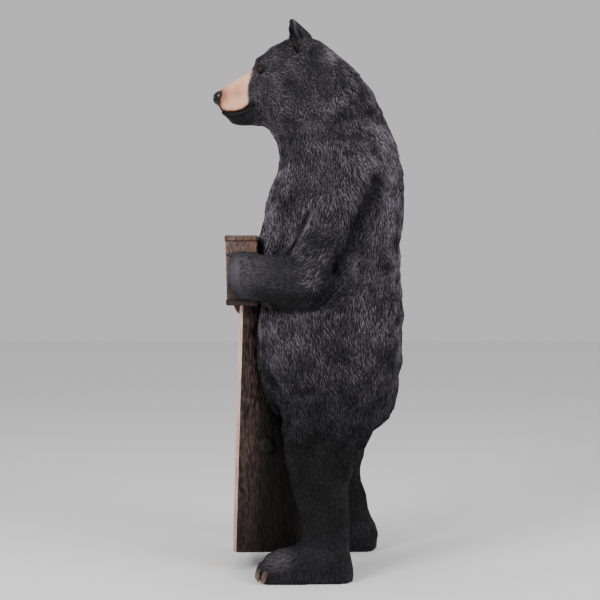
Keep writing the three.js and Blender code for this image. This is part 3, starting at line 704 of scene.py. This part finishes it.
def scattered(mesh, spacing, inside, rng):
    """Places spread over the mesh about as far apart as the spacing, with their normals."""
    mesh.calc_loop_triangles()
    tris = np.empty(len(mesh.loop_triangles) * 3, int)
    mesh.loop_triangles.foreach_get("vertices", tris)
    tris = tris.reshape(-1, 3)
    co, _ = arrays_of(mesh)
    normals = normals_of(mesh)
    middle = co[tris].mean(axis=1)
    tris = tris[inside(figure_mm(middle))]
    a, b, c = (co[tris[:, n]] for n in range(3))
    area = np.linalg.norm(np.cross(b - a, c - a), axis=1) / 2
    wanted = int(area.sum() / (spacing * MM) ** 2 * 5)
    chosen = rng.choice(len(tris), wanted, p=area / area.sum())
    u, v = rng.random(wanted), rng.random(wanted)
    flip = u + v > 1
    u[flip], v[flip] = 1 - u[flip], 1 - v[flip]
    w = np.column_stack((1 - u - v, u, v))
    at_place = np.einsum("ij,ijk->ik", w, co[tris[chosen]])
    normal = np.einsum("ij,ijk->ik", w, normals[tris[chosen]])
    normal /= np.linalg.norm(normal, axis=1)[:, None]
    cells = np.floor(at_place / (spacing * MM)).astype(int)
    _, first = np.unique(cells, axis=0, return_index=True)
    return at_place[first], normal[first]


# Along one stroke: root, widest place and tip, and how high above the skin each lies.
STROKE_ROOT, STROKE_WIDEST, STROKE_TIP = -0.38, 0.0, 0.62
STROKE_LIFT = (-1.3, 0.0, 0.5)


def stroke_template():
    """One carved stroke, 1 long and 1 wide: a low ridge that is pointed at both ends."""
    bm = bmesh.new()
    depth = STROKE_TIP - STROKE_WIDEST
    bmesh.ops.create_cone(bm, segments=3, radius1=0.5, radius2=0.0, depth=depth, cap_ends=False)
    bmesh.ops.translate(bm, verts=bm.verts, vec=Vector((0, 0, depth / 2)))
    tail = bmesh.ops.extrude_edge_only(bm, edges=[e for e in bm.edges if e.is_boundary])
    ends = [g for g in tail["geom"] if isinstance(g, bmesh.types.BMVert)]
    bmesh.ops.pointmerge(bm, verts=ends, merge_co=Vector((0, 0, STROKE_ROOT)))
    bmesh.ops.rotate(bm, verts=bm.verts, cent=Vector(), matrix=Matrix.Rotation(-math.pi / 2, 3, "X"))
    bmesh.ops.recalc_face_normals(bm, faces=bm.faces)
    if min(v.co.z for v in bm.verts) < -0.4:
        bmesh.ops.rotate(bm, verts=bm.verts, cent=Vector(), matrix=Matrix.Rotation(math.pi, 3, "Y"))
    return mesh_of(bm)


# Nothing of the fur or the claws goes below this, in metres.
LOWEST = 0.4 * MM

# Size of a carved stroke, in millimetres: [length, width, height].
BODY_STROKE = np.array((32, 5.6, 2.2))
HEAD_STROKE = np.array((15, 3.8, 1.0))
LIMB_STROKE = np.array((16, 4.0, 0.7))

# Where more grey goes on the strokes: partly the dry brush's own unevenness, partly painted highlight where
# light falls on the body and painted shade on the top of the head: [place, radii, how much more].
BRUSH_AND_PAINTED_LIGHT = [
    ((200, 300, 1330), (260, 170, 330), 0.45),
    ((90, -110, 1190), (170, 90, 200), 0.5),
    ((250, 10, 1060), (80, 110, 110), 0.35),
    ((230, -20, 760), (140, 150, 150), 0.4),
    ((240, 200, 760), (140, 150, 220), 0.15),
    ((60, -50, 1725), (120, 110, 90), -0.4),
    ((150, 40, 1560), (120, 150, 130), -0.15),
    ((120, -20, 1670), (110, 120, 80), -0.3),
]


def limb_share(p):
    """1 on the forearms, paws, lower legs and feet, where the coat is carved shorter and lower."""
    x, y, z = p.T
    forearm = (smooth_step(40, -60, y) * smooth_step(150, 90, np.abs(z - 955))
               * smooth_step(170, 200, x))
    return np.clip(forearm + smooth_step(560, 330, z), 0, 1)


def head_share(p):
    return smooth_step(1380, 1480, p[:, 2]) * smooth_step(160, 60, p[:, 1])


def paw_share(p):
    """1 on the paws, which are nearly smooth."""
    x, y, z = p.T
    within = smooth_step(-80, -150, y) * smooth_step(150, 175, x)
    return within * smooth_step(150, 90, np.abs(z - 965))


def fur_piece(name, spacing, inside, seed):
    """A piece of fur: one stroke at each scattered place, laid along the coat."""
    rng = np.random.default_rng(seed)
    place, normal = scattered(skin.data, spacing, inside, rng)
    flow, across, clump = coat_direction(place, normal, rng)
    p = figure_mm(place)
    head = head_share(p)[:, None]
    limb = limb_share(p)[:, None]
    usual = BODY_STROKE * (1 - head - limb) + HEAD_STROKE * head + LIMB_STROKE * limb
    size = np.exp(rng.normal(0, 0.25, len(place))) * (1 + 0.35 * clump)
    long = (usual[:, 0] * MM * size)[:, None, None]
    wide = (usual[:, 1] * MM * np.exp(rng.normal(0, 0.2, len(place))))[:, None, None]
    tall = (usual[:, 2] * MM * size * (1 - 0.6 * paw_share(p)))[:, None, None]
    bend = (rng.normal(0, 0.2, len(place)) + 0.3 * clump)[:, None, None]

    pattern = in_scene("stroke", stroke_template())
    shape, _ = arrays_of(pattern.data)
    repeat = pattern.modifiers.new("repeat", "ARRAY")
    repeat.count = len(place)
    repeat.use_relative_offset = False
    mesh = applied(pattern)
    bpy.data.objects.remove(pattern)

    sx, sy, sz = (shape[None, :, n, None] for n in range(3))
    lift = np.interp(sy, (STROKE_ROOT, STROKE_WIDEST, STROKE_TIP), STROKE_LIFT)
    sideways = sx * wide + bend * long * sy ** 2
    points = (place[:, None, :] + flow[:, None, :] * sy * long + across[:, None, :] * sideways
              + normal[:, None, :] * (sz * 2 + lift) * tall)
    points[..., 2] = np.maximum(points[..., 2], LOWEST)
    set_corners(mesh, points)

    shine = np.where(shape[:, 1] > STROKE_TIP * 0.9, 0.75, np.where(shape[:, 2] > 0.2, 1.0, 0.0))
    brush = 0.55 + 0.5 * clump + rng.normal(0, 0.27, len(place))
    for middle, radii, more in BRUSH_AND_PAINTED_LIGHT:
        brush += more * near(p, middle, radii)
    # Less grey on the paws and limbs: partly their lower, smoother carving, partly painted shade where the
    # limbs lie in shadow.
    brush = np.clip(brush, 0.08, 1.3) * (1 - 0.1 * paw_share(p)) * (1 - 0.45 * limb[:, 0])
    give(mesh, "ridge", brush[:, None] * shine)
    give(mesh, "painted_shade", np.repeat(painted_shade_share(p), len(shape)))
    return finished(name, mesh, FUR)


def bare_of_fur(p):
    """The muzzle, chin, eye sockets, ears, claws' roots and soles are carved smooth."""
    x, y, z = p.T
    muzzle = (in_mask(p) > 2) & (lip_height(p) > -12) & (z < 1672)
    chin = (y < -150) & (z < 1530) & (z > 1440)
    corner = near(p, MOUTH_CORNER, (30, 17, 12)) > 0.1
    eye = near(p, EYE_AT, (24, 24, 18)) > 0.0
    ear = (z > 1733) & (x > 46)
    paw = (y < -186) & (np.abs(z - 965) < 110) & (x > 165)
    return muzzle | chin | corner | eye | ear | paw | (ear_opening(p) < 9) | (z < 14)


def on_head(p):
    return (p[:, 2] > 1430) & (p[:, 1] < 110) & ~bare_of_fur(p)


def on_limbs(p):
    return ~on_head(p) & ~bare_of_fur(p) & (limb_share(p) >= 0.5)


def on_upper_body(p):
    return ~on_head(p) & ~bare_of_fur(p) & (limb_share(p) < 0.5) & (p[:, 2] > 1020)


def on_lower_body(p):
    return ~bare_of_fur(p) & (limb_share(p) < 0.5) & (p[:, 2] <= 1020)


fur_piece("head_fur", 5.2, on_head, 11)
fur_piece("upper_body_fur", 7.4, on_upper_body, 12)
fur_piece("lower_body_fur", 7.4, on_lower_body, 14)
fur_piece("limb_fur", 6.8, on_limbs, 13)


# The face's own parts and the claws

def turned(degrees_x=0, degrees_y=0, degrees_z=0):
    return Euler([math.radians(d) for d in (degrees_x, degrees_y, degrees_z)]).to_matrix().to_4x4()


def copied(bm, mesh, matrix):
    """Adds the mesh to bm under a matrix, turning its faces back outward where the matrix mirrors them."""
    first = len(bm.faces)
    bm.from_mesh(mesh)
    bm.faces.ensure_lookup_table()
    added = bm.faces[first:]
    verts = list({v for f in added for v in f.verts})
    bmesh.ops.transform(bm, matrix=matrix, verts=verts)
    if matrix.determinant() < 0:
        bmesh.ops.reverse_faces(bm, faces=added)


MIRROR = Matrix.Translation(ORIGIN) @ Matrix.Diagonal((-1, 1, 1, 1)) @ Matrix.Translation(-ORIGIN)
SIDES = (Matrix.Identity(4), MIRROR)


def placed(place, turn, size=1):
    """The matrix that sets a pattern in millimetres at a place on the figure."""
    return Matrix.Translation(at(*place)) @ turn @ Matrix.Scale(size * MM, 4)


def on_both_sides(pattern, matrices):
    """The pattern under each matrix on the left side, and mirrored onto the right."""
    bm = bmesh.new()
    for matrix in matrices:
        for side in SIDES:
            copied(bm, pattern, side @ matrix)
    return bm


EYE_RADIUS = 11
EYE_LOOKS = 56


def eyes():
    """The eyeballs, each with its iris round the way it looks."""
    pattern = bmesh.new()
    bmesh.ops.create_uvsphere(pattern, u_segments=32, v_segments=24, radius=1)
    iris = pattern.verts.layers.float.new("iris")
    for v in pattern.verts:
        v[iris] = v.co.angle(Vector((0, 0, 1))) / math.pi * 1.7
    look = placed(EYE_AT, turned(90, 0, EYE_LOOKS), EYE_RADIUS)
    return finished("eyes", mesh_of(on_both_sides(mesh_of(pattern), [look])), EYE)


LID_RADIUS = 12.6
LID_OPENING = (10, 6.2)
LID_FOLD = (13, 9)


def lids():
    """A shell round each eyeball, open in front in the shape of an almond."""
    pattern = bmesh.new()
    bmesh.ops.create_icosphere(pattern, subdivisions=5, radius=LID_RADIUS)
    opening = []
    for f in pattern.faces:
        c = f.calc_center_median()
        if c.z > 0 and math.hypot(c.x / LID_OPENING[0], c.y / LID_OPENING[1]) < 1:
            opening.append(f)
    bmesh.ops.delete(pattern, geom=opening, context="FACES")
    rim = [e for e in pattern.edges if e.is_boundary]
    inner = bmesh.ops.extrude_edge_only(pattern, edges=rim)["geom"]
    for v in inner:
        if isinstance(v, bmesh.types.BMVert):
            v.co *= (EYE_RADIUS - 0.6) / LID_RADIUS
    edge = pattern.verts.layers.float.new("edge")
    for v in pattern.verts:
        around = math.hypot(v.co.x / LID_FOLD[0], v.co.y / LID_FOLD[1])
        fold = math.exp(-((around - 1) / 0.22) ** 2) if v.co.z > 0 else 0
        v[edge] = math.exp(-((around - 0.8) / 0.25) ** 2) if v.co.z > 0 else 0
        v.co *= 1 + 0.10 * fold
    look = placed(EYE_AT, turned(90, 0, EYE_LOOKS))
    return finished("eyelids", mesh_of(on_both_sides(mesh_of(pattern), [look])), LID)


def nose():
    """The nose pad: a ball flattened on top, with a nostril each side and a groove down the middle."""
    bm = bmesh.new()
    bmesh.ops.create_icosphere(bm, subdivisions=6, radius=1)
    flat = NOSE_RADII[2] * 0.55
    for v in bm.verts:
        c = v.co.copy()
        x, y, z = abs(c.x) * NOSE_RADII[0], c.y * NOSE_RADII[1], c.z * NOSE_RADII[2]
        hole = math.hypot((x - 15) / 6.5, (z + 2 - 0.35 * (x - 15)) / 5.0)
        tail = math.hypot((x - 25) / 8, (z + 5) / 3.0)
        dent = 9 * math.exp(-hole ** 4) if y < 0 else 0
        dent = max(dent, 4 * math.exp(-tail ** 4)) if y < 6 else dent
        rim = 2.2 * math.exp(-((hole - 1.5) / 0.35) ** 2) if y < 0 else 0
        groove = 2.2 * math.exp(-(x / 1.8) ** 2) if y < 0 and z < 8 else 0
        square = 1 + 0.10 * (c.x * c.z) ** 2
        v.co = Vector((c.x * NOSE_RADII[0], y, z)) * square + c.normalized() * (rim - dent - groove)
        if z > flat:
            v.co.z -= (z - flat) * 0.45
    bmesh.ops.transform(bm, matrix=placed(NOSE_AT, turned(NOSE_TURN)), verts=bm.verts)
    return finished("nose_pad", mesh_of(bm), NOSE)


CLAW_STEPS = 12


def claw_pattern(length, radius, bend):
    """A claw from the origin towards -Y that curves down to a point; millimetres."""
    bm = bmesh.new()
    ring = bmesh.ops.create_circle(bm, cap_ends=True, segments=14, radius=radius)["verts"]
    bmesh.ops.rotate(bm, verts=ring, cent=Vector(), matrix=Matrix.Rotation(math.pi / 2, 3, "X"))
    bmesh.ops.scale(bm, vec=Vector((0.85, 1, 1.25)), verts=ring)
    root = bm.verts.layers.float.new("root")
    edges = list(bm.edges)
    for v in bm.verts:
        v[root] = 1
    advance = Matrix.Translation(Vector((0, -length / CLAW_STEPS, 0)))
    advance = advance @ Matrix.Rotation(math.radians(bend / CLAW_STEPS), 4, "X")
    place = Matrix.Identity(4)
    for n in range(CLAW_STEPS):
        made = bmesh.ops.extrude_edge_only(bm, edges=edges)["geom"]
        verts = [g for g in made if isinstance(g, bmesh.types.BMVert)]
        edges = [g for g in made if isinstance(g, bmesh.types.BMEdge)]
        before = place.copy()
        place = place @ advance
        width = math.sqrt(1 - ((n + 1) / CLAW_STEPS) ** 1.8) / math.sqrt(1 - (n / CLAW_STEPS) ** 1.8)
        move = place @ Matrix.Scale(max(width, 0.05), 4) @ before.inverted()
        bmesh.ops.transform(bm, matrix=move, verts=verts)
        for v in verts:
            v[root] = max(1 - (n + 1) / 5, 0)
    bmesh.ops.pointmerge(bm, verts=verts, merge_co=sum((v.co for v in verts), Vector()) / len(verts))
    bmesh.ops.recalc_face_normals(bm, faces=bm.faces)
    return mesh_of(bm)


# The claws' middles across each foot.
TOE_MIDDLE = 217
TOE_SPREADS = (-54, -27, 0, 28, 55)
TOE_CLAW_HEIGHT = 42
# How far each toe claw's root is sunk, how steeply it points down, and how much the row fans out.
TOE_CLAW_SUNK = 10
TOE_CLAW_DIP = 61
TOE_CLAW_FAN = 0.6
PAW_CLAW_DIP = 14
# Of one claw: [length, radius, how many degrees it bends].
TOE_CLAW_SHAPE = (42, 8.4, 20)
PAW_CLAW_SHAPE = (24, 8.5, 40)


def front_of_skin(surface, x, z):
    """Where the skin is foremost at a width and a height, in the figure's millimetres."""
    hit = surface.ray_cast(at(x, -600, z), Vector((0, 1, 0)))[0]
    return ((hit - ORIGIN) / MM).y


def toe_claws(surface):
    pattern = claw_pattern(*TOE_CLAW_SHAPE)
    bm = bmesh.new()
    for side in (1, -1):
        for spread in TOE_SPREADS:
            x = side * (TOE_MIDDLE + spread)
            y = front_of_skin(surface, x, TOE_CLAW_HEIGHT)
            turn = turned(0, 0, side * spread * TOE_CLAW_FAN) @ turned(TOE_CLAW_DIP)
            copied(bm, pattern, placed((x, y + TOE_CLAW_SUNK, TOE_CLAW_HEIGHT), turn))
    for v in bm.verts:
        v.co.z = max(v.co.z, LOWEST)
    return finished("toe_claws", mesh_of(bm), TOE_CLAW)


def paw_claws(surface):
    places = []
    for height, deep in FINGERS:
        x, z = CLAW_ROW[0], CLAW_ROW[1] + height
        y = front_of_skin(surface, x, z) + deep
        places.append(placed((x, y, z), turned(0, 90) @ turned(PAW_CLAW_DIP)))
    bm = on_both_sides(claw_pattern(*PAW_CLAW_SHAPE), places)
    return finished("paw_claws", mesh_of(bm), PAW_CLAW)


def skin_surface():
    bm = bmesh.new()
    bm.from_mesh(skin.data)
    surface = BVHTree.FromBMesh(bm)
    bm.free()
    return surface


eyes()
lids()
nose()
surface = skin_surface()
toe_claws(surface)
paw_claws(surface)


# The box

WALL = 14
RIM_HEIGHT = 21
RIM_PROUD = 3
CORNER = 6
FLOOR_BOARD = 20
# The real ribs are nearer 4 mm apart; they are drawn this far apart so that they show.
RIB = 6.2
RIB_STEP = RIB / 4
BRACKET_DROP = 29
BOX_SAG = 4
# How far the box's front leans out at the top.
BOX_LEAN = 6


def leaned(co):
    """Where a place on the straight box is on the leaning one, in the figure's millimetres."""
    up = (co.z - BOX_LOW.z) / (BOX_HIGH.z - BOX_LOW.z)
    ahead = (BOX_HIGH.y - co.y) / (BOX_HIGH.y - BOX_LOW.y)
    return Vector((co.x, co.y - BOX_LEAN * up * ahead, co.z))


def block(low, high, steps):
    """A block between two corners in figure millimetres, cut along each axis into steps."""
    bm = bmesh.new()
    bmesh.ops.create_cube(bm, size=1)
    size = Vector(high) - Vector(low)
    for axis in range(3):
        along = [e for e in bm.edges if abs((e.verts[0].co - e.verts[1].co)[axis]) > 1e-6]
        cuts = max(int(round(size[axis] / steps[axis])) - 1, 0)
        if cuts:
            bmesh.ops.subdivide_edges(bm, edges=along, cuts=cuts, use_grid_fill=True)
    for v in bm.verts:
        v.co = Vector((v.co[n] * size[n] for n in range(3))) + (Vector(low) + Vector(high)) / 2
    return bm


def eased(co, low, high, corner):
    """Rounds a block's edges: the outer corner's worth of each axis is drawn onto a ball."""
    inner = Vector(min(max(co[n], low[n] + corner), high[n] - corner) for n in range(3))
    away = co - inner
    return inner + away.normalized() * corner if away.length > 1e-6 else co


def board(bm, low, high, steps, corner=2.0, rough=0.7, ribs=None, rib_depth=0.8, joint=None):
    """Adds one board. ribs names the axis along which upright ribs follow each other, and joint is the height
    of a dark line along its edge, painted as the shadow where the rim meets the wall."""
    made = block(low, high, steps)
    made.normal_update()
    groove = made.verts.layers.float.new("groove")
    moves = []
    for v in made.verts:
        grain = noise.noise(Vector((v.co.x / 9, v.co.y / 9, v.co.z / 45))) + 0.5 * noise.noise(v.co / 3.1)
        move = v.normal * rough * grain
        if ribs is not None:
            wander = noise.noise(Vector((v.co.x, v.co.y, v.co.z * 2.0)) / 26) * 2.4
            wave = math.cos(2 * math.pi * (v.co[ribs] + wander) / RIB)
            depth = rib_depth * (0.7 + 0.6 * noise.noise(v.co / 31))
            move += Vector((v.normal.x, v.normal.y, 0)) * depth * wave
            v[groove] = max(-wave, 0) * min(1.4 * depth, 1)
        # Painted shadow: a dark line along the rim's edge where it meets the wall.
        if joint is not None and abs(v.co.z - joint) < 4:
            v[groove] = 0.9
        moves.append(move)
    for v, move in zip(made.verts, moves):
        v.co = ORIGIN + leaned(eased(v.co, low, high, corner) + move) * MM
    copied(bm, mesh_of(made), Matrix.Identity(4))


def box_boards():
    """The four ribbed walls, the floor and the two rims that stand proud of them."""
    low, high = BOX_LOW, BOX_HIGH
    bottom = low.z + BRACKET_DROP - BOX_SAG
    bm = bmesh.new()
    x0, x1, y0, y1 = low.x + RIM_PROUD, high.x - RIM_PROUD, low.y + RIM_PROUD, high.y - RIM_PROUD
    z0, z1 = bottom + 4, high.z - 4
    for y in (y0, y1 - WALL):
        board(bm, (x0, y, z0), (x1, y + WALL, z1), (RIB_STEP, 7, 8), 4, ribs=0, rib_depth=0.6)
    half = WALL / 2
    for x in (x0, x1 - WALL):
        board(bm, (x, y0 + half, z0), (x + WALL, y1 - half, z1), (7, RIB_STEP, 8), ribs=1, rib_depth=0.6)
    board(bm, (x0 + 4, y0 + 4, bottom + 1), (x1 - 4, y1 - 4, bottom + FLOOR_BOARD), (6, 6, 6))
    depth = WALL + RIM_PROUD + 1
    for z, joint in ((bottom, bottom + RIM_HEIGHT), (high.z - RIM_HEIGHT, high.z - RIM_HEIGHT)):
        top = z + RIM_HEIGHT
        rim = partial(board, bm, corner=CORNER, rough=0.4, joint=joint)
        for y in (low.y, high.y - depth):
            rim((low.x, y, z), (high.x, y + depth, top), (RIB_STEP, 4, 3), ribs=0)
        for x in (low.x, high.x - depth):
            rim((x, low.y + 5, z), (x + depth, high.y - 5, top), (4, RIB_STEP, 3), ribs=1)
    return finished("box_boards", mesh_of(bm), BOARDS, ("wooden_box",))


BRACKET_SIZE = (90, 34, 50)
BRACKET_AT = (0, -187, 887.5)
BRACKET_BACK = -197.6


def bracket():
    """The rounded bracket that juts from the log's head under the front of the box."""
    bm = bmesh.new()
    bmesh.ops.create_cone(bm, cap_ends=True, segments=96, radius1=1, radius2=1, depth=1)
    around = [e for e in bm.edges if abs((e.verts[0].co - e.verts[1].co).z) > 0.5]
    bmesh.ops.subdivide_edges(bm, edges=around, cuts=24)
    bmesh.ops.rotate(bm, verts=bm.verts, cent=Vector(), matrix=Matrix.Rotation(math.pi / 2, 3, "Y"))
    bmesh.ops.scale(bm, vec=Vector(BRACKET_SIZE), verts=bm.verts)
    bmesh.ops.translate(bm, vec=Vector(BRACKET_AT), verts=bm.verts)
    for place, normal in (((0, BRACKET_BACK, 0), (0, 1, 0)), ((0, 0, BRACKET_AT[2]), (0, 0, 1))):
        cut = bmesh.ops.bisect_plane(bm, geom=bm.verts[:] + bm.edges[:] + bm.faces[:], plane_co=place,
                                     plane_no=normal, clear_outer=True)
        rim = [g for g in cut["geom_cut"] if isinstance(g, bmesh.types.BMEdge)]
        bmesh.ops.edgeloop_fill(bm, edges=rim)
    for v in bm.verts:
        v.co = ORIGIN + v.co * MM
    return finished("box_bracket", mesh_of(bm), BRACKET, smooth=False)


box_boards()
bracket()


# The log

LOG_VOXEL = 3.6 * MM
SAWN_EDGE = 10
# The sawn face leans back and its foot is rounded: how far ahead it is from the foot up to the head.
SAWN_FACE_HEIGHTS = (0, 9, 827)
SAWN_FACE_PLACES = (-218, -220, -197)


# A knot in the bark, with its height drawn down to three quarters so that its ring is upright.
KNOT = Vector((100, -109, 309))


def furrow(p):
    """How far the bark stands out, in millimetres: long upright plates with cracks between them."""
    wander = noise.noise(p / 60) * 12
    plates = noise.noise(Vector(((p.x + wander) / 6, (p.y + wander) / 6, p.z / 75)))
    fine = noise.noise(Vector((p.x / 4.5, p.y / 4.5, p.z / 22)))
    blots = noise.noise(p / 24)
    knot = (Vector((p.x, p.y, p.z * 0.75)) - KNOT).length
    ring = math.exp(-((knot - 15) / 4) ** 2) * 2.2 - 6 * math.exp(-(knot / 8) ** 2) if p.x > 0 else 0
    return 2.0 * (0.5 - abs(plates) * 2) + 1.3 * fine + 1.2 * blots + ring


def log():
    mesh = voxels("log_post", LOG_VOXEL)
    co, _ = arrays_of(mesh)
    normals = normals_of(mesh)
    low, high = (corner.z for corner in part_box("log_post"))
    above = (co[:, 2] - low) / MM
    front = np.interp(above, SAWN_FACE_HEIGHTS, SAWN_FACE_PLACES)
    behind = (co[:, 1] - ORIGIN.y) / MM - front
    barked = smooth_step(SAWN_EDGE - 2, SAWN_EDGE + 3, behind)
    ends = np.minimum(high - co[:, 2], co[:, 2] - low) / MM
    relief = np.array([furrow(Vector(p)) for p in (co - np.array(ORIGIN)) / MM])
    move = barked * (relief - 0.8) * smooth_step(0, 12, ends) + (1 - barked) * 0.2 * relief
    co = co + normals * (move * MM)[:, None]
    co[:, 2] = np.clip(co[:, 2], low, high - BOX_SAG * MM)
    set_corners(mesh, co)
    p = figure_mm(co)
    # Painted shade: black towards the back, where the bear's legs shade the log, and darker towards the foot.
    shadow = smooth_step(30, 110, behind) * smooth_step(720, 520, p[:, 2])
    foot = smooth_step(420, 100, p[:, 2]) * 0.55
    give(mesh, "bare", 1 - barked)
    give(mesh, "height", above / (high - low) * MM)
    give(mesh, "relief", np.clip(relief / 6 + 0.5, 0, 1))
    give(mesh, "painted_shade", np.clip(0.95 * shadow + foot * (1 - shadow), 0, 1))
    return finished("log", mesh, LOG, ("log_post",))


log()


# Studio and camera

def studio():
    bm = bmesh.new()
    bmesh.ops.create_grid(bm, x_segments=1, y_segments=1, size=12)
    floor = in_scene("floor", mesh_of(bm))
    floor.data.materials.append(painted("pale_studio_paper", studio_paper))

    world = bpy.data.worlds.new("studio")
    bpy.context.scene.world = world
    world.use_nodes = True
    back = world.node_tree.nodes["Background"]
    back.inputs[0].default_value = (1, 1, 1, 1)
    back.inputs[1].default_value = 0.62
    for name, place, size, power in (
        ("overhead", (0.6, -0.2, 3.6), 2.2, 25),
        ("key", (3.0, -2.6, 2.7), 1.5, 130),
        ("back", (2.2, 3.0, 2.5), 1.5, 85),
    ):
        light = bpy.data.lights.new(name, "AREA")
        light.energy = power
        light.size = size
        lamp = in_scene(name, light)
        lamp.location = place
        aim = Vector((0, 0, 1.0)) - lamp.location
        lamp.rotation_euler = aim.to_track_quat("-Z", "Y").to_euler()


CAMERA_DISTANCE = 4.0
CAMERA_HEIGHT = 1.0
CAMERA_PITCH = math.radians(1.62)
CAMERA_LENS = 1196 / 600 * 36


def camera():
    data = bpy.data.cameras.new("camera")
    data.sensor_width = 36
    data.lens = CAMERA_LENS
    eye = in_scene("camera", data)
    eye.location = ORIGIN + Vector((CAMERA_DISTANCE, 0, CAMERA_HEIGHT))
    eye.rotation_euler = Euler((math.pi / 2 - CAMERA_PITCH, 0, math.pi / 2))
    bpy.context.scene.camera = eye


studio()
camera()
